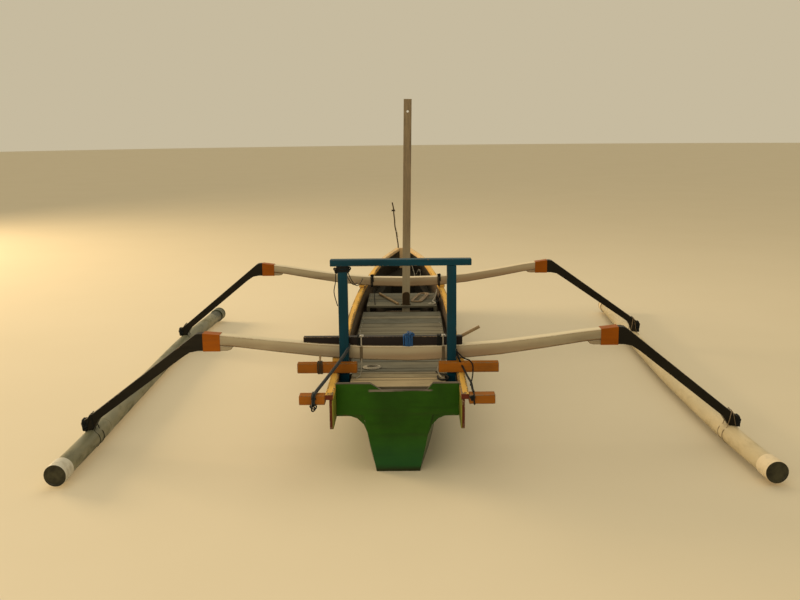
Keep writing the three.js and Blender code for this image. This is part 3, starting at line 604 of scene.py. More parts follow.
def round_edges(bm, offset, sharp=30, segments=2, keep=lambda edge: True):
    """Rounds the sharp edges and marks the rounding as worn."""
    worn = bm.faces.layers.float.get("worn_edge") or bm.faces.layers.float.new("worn_edge")
    edges = [
        e for e in bm.edges
        if e.is_manifold and e.calc_face_angle() > math.radians(sharp) and keep(e)
    ]
    made = bmesh.ops.bevel(
        bm, geom=edges, offset=offset, offset_type="OFFSET", segments=segments, profile=0.5,
        affect="EDGES", clamp_overlap=True, material=-1,
    )
    for face in made["faces"]:
        face[worn] = 1.0


def node_copy(node):
    """A bmesh of a frame's node, with its corners merged."""
    bm = bmesh.new()
    bm.from_mesh(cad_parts[node].data)
    bmesh.ops.remove_doubles(bm, verts=bm.verts, dist=MERGE)
    return bm


def merged_copy(node):
    """The solid of a frame's node, with its triangles joined into whole faces."""
    bm = node_copy(node)
    bmesh.ops.dissolve_limit(bm, angle_limit=math.radians(0.3), verts=bm.verts, edges=bm.edges)
    return bm


def dressed(node, key, edge=None, body="hull", segments=2, sharp=30):
    """A copy of a frame's node with rounded, worn edges, which stands for that node."""
    bm = merged_copy(node)
    round_edges(bm, edge or settings().sizes.edge, sharp=sharp, segments=segments)
    finish_piece(bm, f"{node}_timber", key, body, [node])


def curved(node, key, edge, sharp):
    """A copy of a curved node, in quads, its sharp edges held and the rest made a smooth curve."""
    bm = node_copy(node)
    bmesh.ops.join_triangles(
        bm, faces=bm.faces, angle_face_threshold=math.radians(30), angle_shape_threshold=math.pi,
    )
    round_edges(bm, edge, sharp=sharp)
    finish_piece(bm, f"{node}_shell", key, "hull", [node], levels=2)


def block(bm, centre, size):
    """A box added to a bmesh."""
    made = bmesh.ops.create_cube(bm, size=1)["verts"]
    bmesh.ops.scale(bm, vec=size, verts=made)
    bmesh.ops.translate(bm, vec=centre, verts=made)


def rod(bm, start, end, radius, tip=None, sides=12):
    """A round bar added to a bmesh, which may change its radius to another at its tip."""
    start, end = Vector(start), Vector(end)
    along = end - start
    turn = along.to_track_quat("Z", "Y").to_matrix().to_4x4()
    bmesh.ops.create_cone(
        bm, cap_ends=True, segments=sides, radius1=radius, radius2=radius if tip is None else tip,
        depth=along.length, matrix=Matrix.Translation((start + end) / 2) @ turn,
    )


def turned(profile, height, steps):
    """A body turned about a line along Y at a height, from its profile of radius and y."""
    bm = bmesh.new()
    points = [bm.verts.new((radius, y, 0)) for radius, y in profile]
    edges = [bm.edges.new(pair) for pair in zip(points, points[1:])]
    bmesh.ops.spin(
        bm, geom=points + edges, cent=(0, 0, 0), axis=AHEAD, angle=math.tau, steps=steps,
        use_merge=True,
    )
    bmesh.ops.remove_doubles(bm, verts=bm.verts, dist=1e-6)
    bmesh.ops.recalc_face_normals(bm, faces=bm.faces)
    bmesh.ops.translate(bm, vec=(0, 0, height), verts=bm.verts)
    return bm


# Cords


def smooth_path(points, step=0.012):
    """Points about a step apart on a smooth curve through the given ones."""
    points = [Vector(p) for p in points]
    ends = [points[0] * 2 - points[1], *points, points[-1] * 2 - points[-2]]
    path = []
    for a, b, c, d in zip(ends, ends[1:], ends[2:], ends[3:]):
        count = max(2, round((c - b).length / step))
        for i in range(count):
            t = i / count
            cubic = (b * 3 - a - c * 3 + d) * t ** 3 + (a * 2 - b * 5 + c * 4 - d) * t * t
            path.append((b * 2 + (c - a) * t + cubic) / 2)
    return [*path, points[-1]]


def cord_mesh(name, paths, radius, sides):
    """One mesh of round cords, whose UV runs in metres along each cord and once round it."""
    curve = bpy.data.curves.new(name, "CURVE")
    curve.dimensions = "3D"
    curve.bevel_depth = radius
    curve.bevel_resolution = sides // 2 - 2
    for path in paths:
        spline = curve.splines.new("POLY")
        spline.points.add(len(path) - 1)
        for point, place in zip(spline.points, path):
            point.co = (*place, 1)
    holder = bpy.data.objects.new(name, curve)
    bpy.context.scene.collection.objects.link(holder)
    mesh = bpy.data.meshes.new_from_object(holder)
    bpy.data.objects.remove(holder)
    bpy.data.curves.remove(curve)
    lengths = []
    for path in paths:
        gone = 0.0
        for i, place in enumerate(path):
            gone += (place - path[i - 1]).length if i else 0.0
            lengths.append(gone)
    map_layer = mesh.uv_layers[0].data
    for face in mesh.polygons:
        around = [v % sides for v in face.vertices]
        wraps = max(around) - min(around) > 1
        for loop, vertex, place in zip(face.loop_indices, face.vertices, around):
            if wraps and place == 0:
                place = sides
            map_layer[loop].uv = (lengths[vertex // sides], place / sides)
    return mesh


def ropes(name, paths, radius, key, sides=8, replaces=()):
    """A piece of one or more cords with closed ends."""
    paths = [[Vector(p) for p in path] for path in paths]
    mesh = cord_mesh(name, paths, radius, sides)
    bm = bmesh.new()
    bm.from_mesh(mesh)
    bpy.data.meshes.remove(mesh)
    bmesh.ops.holes_fill(bm, edges=[e for e in bm.edges if e.is_boundary], sides=sides)
    bmesh.ops.recalc_face_normals(bm, faces=bm.faces)
    return finish_piece(bm, name, key, replaces=replaces)


def free_cord(name, path, radius, key):
    """A cord that lies free."""
    piece = ropes(name, [path], radius, key)


def wound(centre, half_side, half_up, turns, pitch, along=ACROSS, side=AHEAD, start=0.0, power=0.4):
    """Path of a cord wound round a squared bar that runs along a direction."""
    along, side = Vector(along).normalized(), Vector(side).normalized()
    up = along.cross(side)
    path = []
    for i in range(round(turns * TURN_STEPS) + 1):
        angle = start + i / TURN_STEPS * math.tau
        c, s = math.cos(angle), math.sin(angle)
        across = math.copysign(abs(c) ** power, c) * half_side
        height = math.copysign(abs(s) ** power, s) * half_up
        drift = pitch * (i / TURN_STEPS - turns / 2) + 0.0012 * math.sin(i * 0.37)
        path.append(Vector(centre) + side * across + up * height + along * drift)
    return path


def bar_wraps(node, x, clear, turns, pitch, lift=0.0, **more):
    """Path of a cord wound round a bar that lies across the boat, clear of its faces by so much."""
    low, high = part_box(node)
    centre, half = (low + high) / 2, (high - low) / 2
    return wound(
        (x, centre.y, centre.z + lift), half.y + clear[0], half.z + clear[1] + lift, turns, pitch,
        **more,
    )


def knot(centre, size, turn=0.0):
    """Path of a trefoil, close drawn, as a knot's lump."""
    path = []
    for i in range(KNOT_STEPS + 1):
        t = i / KNOT_STEPS * math.tau
        x = math.sin(t) + 2 * math.sin(2 * t)
        y = math.cos(t) - 2 * math.cos(2 * t)
        z = -math.sin(3 * t)
        lump = Vector((x * 0.33, z * 0.45, y * 0.33)) * size
        lump.rotate(Matrix.Rotation(turn, 3, "Z"))
        path.append(Vector(centre) + lump)
    return smooth_path(path, KNOT_STEP)


# Places taken from the frame


def middle(node):
    """Middle of a node's box."""
    low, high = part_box(node)
    return (low + high) / 2


def points_of(node):
    """Corners of a node's solid."""
    return [v.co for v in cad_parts[node].data.vertices]


def middle_x(node, z):
    """Middle of a node's corners near a height, across the boat."""
    near = [p.x for p in points_of(node) if abs(p.z - z) < 0.05]
    return (max(near) + min(near)) / 2


def height_on(line, x):
    """Height at x on a line of x and z, which is level past its ends."""
    for (x0, z0), (x1, z1) in zip(line, line[1:]):
        if x0 <= x <= x1:
            return z0 + (z1 - z0) * (x - x0) / (x1 - x0)
    return line[0][1] if x < line[0][0] else line[-1][1]


def beam_top(station, x):
    """Height of a beam's upper edge at x."""
    points = points_of(f"beam_{station}")
    rings = sorted({round(p.x, 4) for p in points})
    return height_on([(s, max(p.z for p in points if abs(p.x - s) < 2e-4)) for s in rings], x)


def beam_depth(station):
    """Depth of a beam at its middle."""
    node = f"beam_{station}"
    x = middle(node).x
    near = [p.z for p in points_of(node) if abs(p.x - x) < 0.01]
    return max(near) - min(near)


def arm_top(station, side, x):
    """Height of an arm's upper edge at x."""
    edge = {(round(p.x, 4), round(p.z, 4)) for p in points_of(f"arm_{station}_{side}")}
    return height_on(upper_chain(sorted(edge)), x)


def upper_chain(points):
    """Upper outline of an outline's points, from left to right."""
    chain = []
    for x, z in points:
        while len(chain) > 1:
            (x0, z0), (x1, z1) = chain[-2:]
            if (x1 - x0) * (z - z0) < (z1 - z0) * (x - x0):
                break
            chain.pop()
        chain.append((x, z))
    return chain


def centre_line(node):
    """Middles of the rings of a round node that runs along the boat, from aft forward."""
    points = sorted(points_of(node), key=lambda p: p.y)
    rings = [[points[0]]]
    for p in points[1:]:
        if p.y - rings[-1][-1].y > 0.006:
            rings.append([])
        rings[-1].append(p)
    return [
        Vector([(min(p[k] for p in ring) + max(p[k] for p in ring)) / 2 for k in range(3)])
        for ring in rings
    ]


def line_x(line, y):
    """Place across the boat of a centre line at y, carried straight on past its ends."""
    for a, b in zip(line, line[1:]):
        if y <= b.y:
            break
    return a.x + (b.x - a.x) * (y - a.y) / (b.y - a.y)


# Pieces


def water_hole():
    """Outline at the waterline along the hull's inner wall, so that no floor shows in the hull."""
    bm = node_copy("hull_lower")
    cut = bmesh.ops.bisect_plane(
        bm, geom=[*bm.verts, *bm.edges, *bm.faces], dist=1e-6, plane_co=(0, 0, WATER), plane_no=UP,
    )["geom_cut"]
    edges = [tuple(v.co.copy() for v in e.verts) for e in cut if isinstance(e, bmesh.types.BMEdge)]
    bm.free()
    low, high = min(min(a.y, b.y) for a, b in edges), max(max(a.y, b.y) for a, b in edges)
    shell = []
    for i in range(HOLE_STATIONS):
        y = low + 0.02 + (high - low - 0.06) * i / (HOLE_STATIONS - 1)
        crossed = (
            a.x + (b.x - a.x) * (y - a.y) / (b.y - a.y)
            for a, b in edges if min(a.y, b.y) <= y < max(a.y, b.y)
        )
        walls = sorted({round(x, 4) for x in crossed if x > 0})
        if len(walls) > 1:
            shell.append((walls[-2] + WALL_CLEAR, y))
    return shell + [(-x, y) for x, y in reversed(shell)]


def build_floor():
    """Pale floor at the waterline, open inside the hull."""
    bm = bmesh.new()
    centre = Vector((0, 0.6, WATER))
    inner = [bm.verts.new((x, y, WATER)) for x, y in water_hole()]
    outer = [bm.verts.new(centre + (v.co - centre).normalized() * FLOOR_REACH) for v in inner]
    for a, b, c, d in zip(inner, outer, outer[1:] + outer[:1], inner[1:] + inner[:1]):
        bm.faces.new((a, b, c, d))
    bmesh.ops.recalc_face_normals(bm, faces=bm.faces)
    if bm.faces[0].normal.z < 0:
        bmesh.ops.reverse_faces(bm, faces=bm.faces)
    mesh = bpy.data.meshes.new("floor")
    bm.to_mesh(mesh)
    bm.free()
    mesh.materials.append(floor_cloth("pale_floor"))
    floor = bpy.data.objects.new("floor", mesh)
    bpy.context.scene.collection.objects.link(floor)


def build_lights():
    """A low warm light ahead to port, a broad one above, one astern, and the sky."""
    scene = bpy.context.scene
    low, high = settings().stage.sun, settings().stage.sky
    for name, power, tone, size, place, target in (
        ("low_light", low, (1.0, 0.74, 0.42), (8, 4), (-15, 7, 4.1), (0, 0, 0.4)),
        ("high_light", high, (1.0, 0.90, 0.72), (9, 9), (0, 2, 8), (0, 0, 0)),
        ("stern_light", high * 0.9, (1.0, 0.88, 0.68), (5, 3), (-2.5, -9, 3.2), (0, 0, 0.4)),
    ):
        data = bpy.data.lights.new(name, "AREA")
        data.energy, data.color = power, tone
        data.shape, data.size, data.size_y = "RECTANGLE", *size
        light = bpy.data.objects.new(name, data)
        light.location = place
        light.rotation_euler = (Vector(target) - Vector(place)).to_track_quat("-Z", "Y").to_euler()
        scene.collection.objects.link(light)
    scene.world = bpy.data.worlds.new("pale_sky")
    scene.world.use_nodes = True
    background = scene.world.node_tree.nodes["Background"]
    background.inputs["Color"].default_value = SKY_TONE
    background.inputs["Strength"].default_value = SKY_STRENGTH
    scene.view_settings.view_transform = "Standard"


def build_camera():
    """The camera, level with a standing person's eyes and tilted down a little."""
    stage, scene = settings().stage, bpy.context.scene
    data = bpy.data.cameras.new("camera")
    data.sensor_width, data.lens = 36, stage.lens
    data.clip_end = 300
    camera = bpy.data.objects.new("camera", data)
    turn = Matrix.Rotation(stage.yaw, 4, "Z") @ Matrix.Rotation(math.pi / 2 - stage.pitch, 4, "X")
    camera.matrix_world = Matrix.Translation(stage.eye) @ turn @ Matrix.Rotation(stage.roll, 4, "Z")
    scene.collection.objects.link(camera)
    scene.camera = camera


def build_hull():
    """Lower hull, stem block and floor timbers."""
    curved("hull_lower", "hull", 0.004, sharp=62)
    curved("stem_block", "hull", 0.004, sharp=62)
    for name in ("aft", "mid", "bow"):
        dressed(f"floor_timber_{name}", "timber")


def build_washstrakes():
    """Side planks, gunwale caps and the bow board."""
    for side in SIDES:
        curved(f"side_plank_{side}", "plank", 0.003, sharp=45)
        curved(f"gunwale_cap_{side}", "cap", 0.005, sharp=45)
    dressed("bow_board", "cap", 0.006)


def build_transom():
    """The transom board, its lower corners eased into curves."""
    bm = merged_copy("transom")
    round_edges(
        bm, 0.028, sharp=6, segments=4,
        keep=lambda e: e.calc_face_angle() < math.radians(60) and e.verts[0].co.z < 0.2
        and abs(e.verts[0].co.y - e.verts[1].co.y) > 0.01,
    )
    round_edges(bm, 0.003, sharp=40)
    finish_piece(bm, "transom_board", "transom", replaces=["transom"])


def build_stern_bars():
    """Bars on the quarters, which carry an engine bracket."""
    for side in SIDES:
        for station in reversed(STATIONS):
            dressed(f"bracket_bar_{station}_{side}", "bracket", 0.005)


def build_deck(name):
    """One deck panel: every board gets its own tone, and nail heads near its ends."""
    bm = merged_copy(name)
    top = max(v.co.z for v in bm.verts)
    boards = sorted(
        (min(v.co.y for v in f.verts), max(v.co.y for v in f.verts))
        for f in bm.faces if f.normal.z > 0.9 and f.calc_center_median().z > top - 0.001
    )
    rows = []
    for low, high in boards:
        if rows and low < rows[-1][1] - 0.002:
            rows[-1] = (rows[-1][0], max(high, rows[-1][1]))
        else:
            rows.append((low, high))
    round_edges(bm, 0.0025, sharp=40)
    tone = bm.faces.layers.float.new("board")
    rng = random.Random(name)
    tones = [rng.random() ** 1.5 for _ in rows]
    for face in bm.faces:
        y = face.calc_center_median().y
        for (low, high), value in zip(rows, tones):
            if low - 0.001 <= y <= high + 0.001:
                face[tone] = value
    finish_piece(bm, f"{name}_planks", "deck", replaces=[name])

    low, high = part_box(name)
    nails = bmesh.new()
    narrow, from_side, from_end = 0.08, 0.022, 0.018
    for start, end in rows:
        pair = (start + from_side, end - from_side)
        for y in pair if end - start > narrow else ((start + end) / 2,):
            for x in (low.x + from_end, high.x - from_end):
                shift = Vector((rng.uniform(-0.004, 0.004), rng.uniform(-0.003, 0.003), 0))
                head = bmesh.ops.create_uvsphere(
                    nails, u_segments=8, v_segments=5, radius=settings().sizes.nail,
                )["verts"]
                bmesh.ops.scale(nails, vec=(1, 1, 0.35), verts=head)
                bmesh.ops.translate(nails, vec=Vector((x, y, high.z)) + shift, verts=head)
    finish_piece(nails, f"{name}_nails", "steel")


def build_mast():
    """The spar, the dark cheek at its foot and its step."""
    dressed("mast", "mast", 0.006, body="mast", segments=3)
    dressed("mast_step", "timber")
    foot_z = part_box("deck_forward")[1].z + 0.003
    low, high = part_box("mast")
    foot_x = middle_x("mast", low.z)
    lean = math.atan((middle_x("mast", high.z) - foot_x) / (high.z - low.z))
    width, tall, thick = (high.y - low.y) * 0.98, 0.125, 0.016

    def at_top(edge):
        """Whether an edge runs through the cheek at its upper end."""
        return (
            abs(edge.verts[0].co.y - edge.verts[1].co.y) > 0.01
            and min(v.co.z for v in edge.verts) > tall - 0.001
        )

    bm = bmesh.new()
    block(bm, (0, 0, tall / 2), (width, thick, tall))
    round_edges(bm, width * 0.42, sharp=60, segments=6, keep=at_top)
    round_edges(bm, 0.003, sharp=50)
    bmesh.ops.rotate(bm, cent=(0, 0, 0), matrix=Matrix.Rotation(lean, 3, "Y"), verts=bm.verts)
    place = (foot_x + (foot_z - low.z) * math.tan(lean), low.y - thick / 2, foot_z)
    bmesh.ops.translate(bm, vec=place, verts=bm.verts)
    finish_piece(bm, "mast_foot_cheek", "foot", body="mast")


def build_beams():
    """Outrigger beams, black arms and the orange bands over their laps."""
    edge = settings().sizes.soft_edge
    for station in STATIONS:
        dressed(f"beam_{station}", "beam", edge, segments=3, sharp=40)
        for side in SIDES:
            dressed(f"chock_{station}_{side}", "cap", 0.003)
            build_arm(station, side)
            dressed(f"sleeve_{station}_{side}", "orange", 0.003)


def build_arm(station, side):
    """A black arm, whose tongue under the beam keeps the beam's cream up to the band."""
    node = f"arm_{station}_{side}"
    bm = merged_copy(node)
    round_edges(bm, 0.009, sharp=40, segments=3)
    seam = middle(f"sleeve_{station}_{side}").x
    whole = [*bm.verts, *bm.edges, *bm.faces]
    bmesh.ops.bisect_plane(bm, geom=whole, dist=1e-5, plane_co=(seam, 0, 0), plane_no=ACROSS)
    for face in bm.faces:
        face.material_index = int(abs(face.calc_center_median().x) < abs(seam))
    finish_piece(bm, f"{node}_timber", "arm", replaces=[node], second="beam")


def build_floats():
    """Plastic floats: slightly dented pipes with a joint, and end caps with collars and dark plugs."""
    for side in SIDES:
        line = centre_line(f"float_{side}")
        low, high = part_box(f"float_{side}")
        radius, height = (high.z - low.z) / 2, (high.z + low.z) / 2
        start, joint, end = low.y, low.y + 0.93, high.y
        lip, dent = 0.003, 0.012
        profile = [(0, start), (radius - lip, start), (radius, start + lip)]
        profile += [(radius + 0.0008, start + (joint - start) * i / 8) for i in range(1, 8)]
        profile += [(radius + 0.0012, joint - 0.004)]
        profile += [(radius - 0.002, joint - 0.001), (radius - 0.002, joint + 0.002)]
        profile += [(radius, joint + 0.004 + (end - joint - 0.008) * i / 30) for i in range(31)]
        profile += [(radius - lip, end), (0, end)]
        bm = turned(profile, height, 56)
        for v in bm.verts:
            out = Vector((v.co.x, 0, v.co.z - height))
            v.co += out * dent * noise.noise(Vector((v.co.x * 3, v.co.y * 1.6, v.co.z * 3)))
            v.co.x += line_x(line, v.co.y)
        finish_piece(bm, f"float_pipe_{side}", "pipe", replaces=[f"float_{side}"])
        for station, way in (("aft", 1), ("forward", -1)):
            build_float_end(side, station, way, line)


def build_float_end(side, station, way, line):
    """A cup with a rolled rim, a narrow neck and a long collar, its dark disc set back a little."""
    node = f"float_cap_{station}_{side}"
    low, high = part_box(node)
    outer = (high.z - low.z) / 2
    tip = low.y if way > 0 else high.y
    depth = high.y - low.y
    bore = outer - 0.006
    profile = [
        (0, 0.003), (outer * 0.55, 0.002), (outer * 0.8, 0.004), (outer * 0.85, 0.001),
        (outer - 0.005, 0), (outer - 0.001, 0.002), (outer, 0.006), (outer, 0.018),
        (outer - 0.003, 0.022), (outer - 0.0035, 0.05), (outer, 0.054), (outer, 0.08), (outer, 0.11),
        (outer, depth - 0.005), (outer - 0.003, depth), (bore, depth), (bore, 0.012), (0, 0.01),
    ]
    height = (low.z + high.z) / 2
    bm = turned([(r, tip + y * way) for r, y in profile], height, 48)
    plug = bm.faces.layers.float.new("plug")
    seam = bm.faces.layers.float.new("seam")
    for face in bm.faces:
        spot = face.calc_center_median()
        if abs(spot.y - tip) < 0.008 and math.hypot(spot.x, spot.z - height) < outer * 0.99:
            face[plug] = 1.0
        face[seam] = float(depth - 0.006 < abs(spot.y - tip) or 0.017 < abs(spot.y - tip) < 0.023)
    for v in bm.verts:
        v.co.x += line_x(line, v.co.y)
    finish_piece(bm, f"float_end_{station}_{side}", "plug", replaces=[node])


def build_gallows():
    """Blue posts and crossbar over the stern."""
    for side in SIDES:
        dressed(f"gallows_post_{side}", "blue", 0.005)
    dressed("gallows_crossbar", "blue_bar", 0.005)


def build_clamps():
    """The clamp bar on the aft beam with its bolts and straps, and the pale stick beside it."""
    dressed("clamp_bar", "bar", 0.004)
    dressed("clamp_handle", "stick", 0.002)
    low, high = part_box("clamp_bar")
    beam_y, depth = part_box("beam_aft")[0].y, beam_depth("aft")
    bolt_y = low.y - 0.004
    bolts, straps = bmesh.new(), bmesh.new()
    for x in BOLT_PLACES:
        top = beam_top("aft", x)
        rod(bolts, (x, bolt_y, top - 0.01), (x, bolt_y, high.z + 0.014), 0.006)
        rod(bolts, (x, bolt_y, high.z + 0.001), (x, bolt_y, high.z + 0.011), 0.013, sides=6)
        block(bolts, (x, middle("clamp_bar").y - 0.004, high.z + 0.002), (0.03, 0.066, 0.004))
        block(straps, (x, beam_y - 0.0022, top - depth / 2), (0.02, 0.004, depth * 0.96))
    for bm, name, key, slot in (
        (bolts, "clamp_bolts", "steel", None), (straps, "clamp_straps", "strap", "beam_paint"),
    ):
        round_edges(bm, 0.001, sharp=50, segments=1)
        finish_piece(bm, name, key)


# Rope work


def oval(share, reach, wide):
    """Point at a share of the way round a loop with straight sides and round ends."""
    flat, bend = 2 * (reach - wide), math.pi * wide
    turn, gone = divmod(share % 1 * 2 * (flat + bend), flat + bend)
    sign = 1 - 2 * turn
    if gone < flat:
        return sign * (gone - flat / 2), -sign * wide
    angle = (gone - flat) / wide - math.pi / 2
    return sign * (flat / 2 + wide * math.cos(angle)), sign * wide * math.sin(angle)


def build_deck_cords():
    """Ropes that lie free on the decks."""
    sizes = settings().sizes
    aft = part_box("deck_aft")[1].z + sizes.rope + 0.001
    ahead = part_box("deck_forward")[1].z + sizes.rope + 0.001

    coil = []
    for i in range(67):
        turn = i / 22
        wide = 0.062 - 0.006 * turn + 0.008 * math.sin(i * 0.31)
        tall = 0.058 - 0.009 * turn
        x = -0.185 + wide * math.cos(turn * math.tau)
        y = -1.33 + tall * math.sin(turn * math.tau)
        coil.append((x, y, aft - 0.003 + 0.0032 * turn))
    free_cord("aft_deck_rope", smooth_path(coil), 0.0045, "pale_rope")

    loop = smooth_path([(x, y, aft - 0.001) for x, y in (
        (0.262, -1.57), (0.262, -1.62), (0.285, -1.66), (0.315, -1.655), (0.332, -1.615),
        (0.326, -1.57), (0.302, -1.53), (0.272, -1.50), (0.255, -1.46),
    )])
    free_cord("aft_deck_dark_rope", loop, 0.006, "dark_rope")

    start, end = Vector((0.128, 1.18, ahead + 0.004)), Vector((0.222, 1.63, ahead + 0.01))
    axis = (end - start).normalized()
    across = Vector(UP).cross(axis).normalized()
    hank = []
    for i in range(116):
        turn = i / 48
        grown = 0.0135 * turn
        u, v = oval(turn, (end - start).length / 2 - 0.04 + grown, 0.026 + grown)
        hank.append((start + end) / 2 + axis * u + across * v)
    free_cord("forward_deck_hank", hank, 0.006, "tan_rope")

    pale = [
        (0.338, 1.352, 0.60), (0.33, 1.33, 0.565), (0.312, 1.3, ahead + 0.008), (0.296, 1.26, ahead),
        (0.304, 1.19, ahead), (0.318, 1.15, ahead), (0.312, 1.1, ahead), (0.29, 1.075, ahead),
        (0.262, 1.09, ahead), (0.258, 1.12, ahead), (0.276, 1.14, ahead),
    ]
    free_cord("forward_deck_pale_rope", smooth_path(pale), 0.006, "pale_rope")
    dark = [
        (0.372, 1.352, 0.59), (0.366, 1.325, 0.55), (0.35, 1.3, ahead), (0.337, 1.24, ahead),
        (0.335, 1.17, ahead), (0.32, 1.185, ahead),
    ]
    ropes("forward_deck_dark_rope", [smooth_path(dark)], 0.005, "dark_rope")


def build_float_lashings():
    """Thin turns that tie the arms to the floats, and the dark lump of wraps at each arm's toe."""
    thin, thick = 0.0017, 0.0045
    for station in STATIONS:
        for side, sign in SIDES.items():
            low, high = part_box(f"float_{side}")
            arm_low, arm_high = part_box(f"arm_{station}_{side}")
            y = (arm_low.y + arm_high.y) / 2
            half = (arm_high.y - arm_low.y) / 2
            centre = Vector((line_x(centre_line(f"float_{side}"), y), y, (low.z + high.z) / 2))
            pipe = (high.z - low.z) / 2 + thin + 0.001
            points = []
            for turn in range(2):
                over = 0.004 + turn * 2.1 * thin
                spread = half + over
                for way in (1, -1):
                    x = centre.x + way * over
                    top = arm_top(station, side, x) + thin + 0.001
                    for across in (-half, 0, half):
                        points.append((x, y + way * across, top - (0.004 if across else 0)))
                    first = 62 - turn * 2
                    for i in range(10):
                        angle = math.radians(90 + way * (first - 90 - i / 9 * (180 + 2 * first)))
                        round_x, round_z = pipe * math.cos(angle), pipe * math.sin(angle)
                        points.append((centre.x + round_x, y + way * spread, centre.z + round_z))
            key = "dark_rope" if side == "port" else "tan_rope"
            ropes(f"float_tie_{station}_{side}", [smooth_path(points, 0.01)], thin, key)
            x = centre.x + sign * 0.044
            top, bottom = arm_top(station, side, x), high.z - 0.004
            middle_z, half_up = (top + bottom) / 2, (top - bottom) / 2
            turns = wound(
                (x, y, middle_z), half + 0.002, half_up + 0.002, 3, 0.0092, along=(sign, 0, 0),
            )
            lump = knot((x - sign * 0.004, arm_low.y - 0.004, middle_z - 0.004), 0.015)
            ropes(f"float_lashing_{station}_{side}", [turns, lump], thick, "dark_rope")


def build_beam_lashings():
    """Lashings of the beams at the gunwales and of the clamp bar on the aft beam."""
    radius = settings().sizes.lashing
    low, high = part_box("beam_forward")
    depth = beam_depth("forward")
    half_side = (high.y - low.y) / 2 + radius
    for place, x in (("port", -0.291), ("starboard", 0.362)):
        top = beam_top("forward", x)
        centre = (x, (low.y + high.y) / 2, top - depth / 2)
        path = wound(centre, half_side, depth / 2 + radius, 2.5, radius * 2.1)
        lump = knot((x, low.y + 0.01, top + radius * 2.2), 0.014)
        ropes(f"beam_forward_lashing_{place}", [path, lump], radius, "dark_rope")
    tail = smooth_path([
        (-0.272, 1.36, 0.606), (-0.268, 1.34, 0.59), (-0.262, 1.25, 0.54), (-0.255, 1.14, 0.508),
        (-0.252, 1.1, 0.506),
    ])
    ropes("beam_forward_tail", [tail], radius * 0.8, "dark_rope")

    low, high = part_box("clamp_bar")
    half_side = (high.y - low.y) / 2 + 0.004
    for place, x, turns in (("port", -0.262, 2), ("starboard", 0.279, 4)):
        bottom = beam_top("aft", x) - 0.01
        centre = (x, (low.y + high.y) / 2, (high.z + bottom) / 2)
        path = wound(centre, half_side, (high.z - bottom) / 2 + 0.004, turns, 0.0085, power=0.3)
        ropes(f"clamp_lashing_{place}", [path], 0.004, "dark_rope")


def build_post_cords():
    """Wraps at the head of the port post, the thin stays from it and its loop."""
    low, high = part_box("gallows_post_port")
    centre, half = (low + high) / 2, (high - low) / 2
    head = (centre.x, centre.y, high.z - 0.02)
    wraps = wound(head, half.x + 0.005, half.y + 0.005, 4, 0.0105, along=UP, side=ACROSS)
    inner = knot((low.x - 0.006, low.y + 0.01, high.z - 0.024), 0.02)
    outer = knot((high.x + 0.006, low.y + 0.01, high.z - 0.02), 0.018)
    ropes("post_wraps", [wraps, inner, outer], 0.005, "dark_rope")

    for node in ("stay_inboard", "stay_outboard"):
        line = smooth_path(centre_line(node), 0.05)
        piece = ropes(f"{node}_cord", [line], 0.0038, "dark_rope")
        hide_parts(node)

    loop = smooth_path([(low.x - out, low.y - aft, z) for out, aft, z in (
        (0.006, 0.004, 1.259), (0.012, 0.006, 1.215), (0.014, 0.008, 1.171), (0.024, 0.008, 1.121),
        (0.022, 0.008, 1.088), (0.011, 0.006, 1.041), (0.003, 0.004, 1.014),
    )])
    ropes("post_loop", [loop], settings().sizes.twine, "dark_rope")


def build_stern_ropes():
    """Ropes from the aft beam to the bars on the quarters, with their knots."""
    low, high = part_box("bracket_bar_aft_port")
    middle_z = (low.z + high.z) / 2
    knot_y = low.y - 0.012
    port = smooth_path([
        (-0.325, -1.50, 0.74), (-0.33, -1.56, 0.722), (-0.38, -1.72, 0.672), (-0.44, -1.9, 0.622),
        (-0.482, -2.03, 0.59), (-0.497, -2.075, high.z + 0.012), (-0.503, -2.112, high.z + 0.008),
        (-0.506, knot_y, high.z - 0.012), (-0.508, knot_y, low.z + 0.01),
    ])
    starboard = smooth_path([
        (0.388, -1.5, 0.70), (0.391, -1.555, 0.684), (0.41, -1.6, 0.64), (0.433, -1.64, 0.598),
        (0.446, -1.8, 0.596), (0.458, -1.95, 0.6), (0.463, -2.03, high.z + 0.011),
        (0.466, -2.07, high.z + 0.01),
    ])
    loop = smooth_path([
        (0.39, -1.555, 0.70), (0.43, -1.6, 0.668), (0.466, -1.62, 0.658), (0.488, -1.62, 0.63),
        (0.492, -1.62, 0.59), (0.482, -1.7, 0.56), (0.464, -1.8, 0.54),
    ])
    ropes("stern_rope_port", [port], 0.0105, "navy_rope", sides=10)
    wraps = bar_wraps("bracket_bar_aft_port", -0.508, (0.007, 0.005), 2, 0.0105)
    under = knot((-0.508, knot_y, low.z - 0.012), 0.022)
    upper = knot((-0.505, knot_y, middle_z + 0.012), 0.012, 0.6)
    ropes("stern_hitch_port", [wraps, under, upper], 0.0045, "dark_rope")
    ropes("stern_rope_starboard", [starboard], 0.007, "dark_rope")
    wraps = bar_wraps("bracket_bar_aft_starboard", 0.468, (0.007, 0.005), 1, 0.0105)
    lump = knot((0.456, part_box("bracket_bar_aft_starboard")[0].y - 0.012, middle_z + 0.014), 0.015)
    ropes("stern_hitch_starboard", [wraps, lump], 0.0045, "dark_rope")
    ropes("stern_loop_starboard", [loop], 0.0045, "dark_rope")
    wraps = bar_wraps("bracket_bar_forward_port", -0.512, (0.006, 0.004), 4, 0.009)
    ropes("bracket_wraps_port", [wraps], 0.0042, "brown_rope")


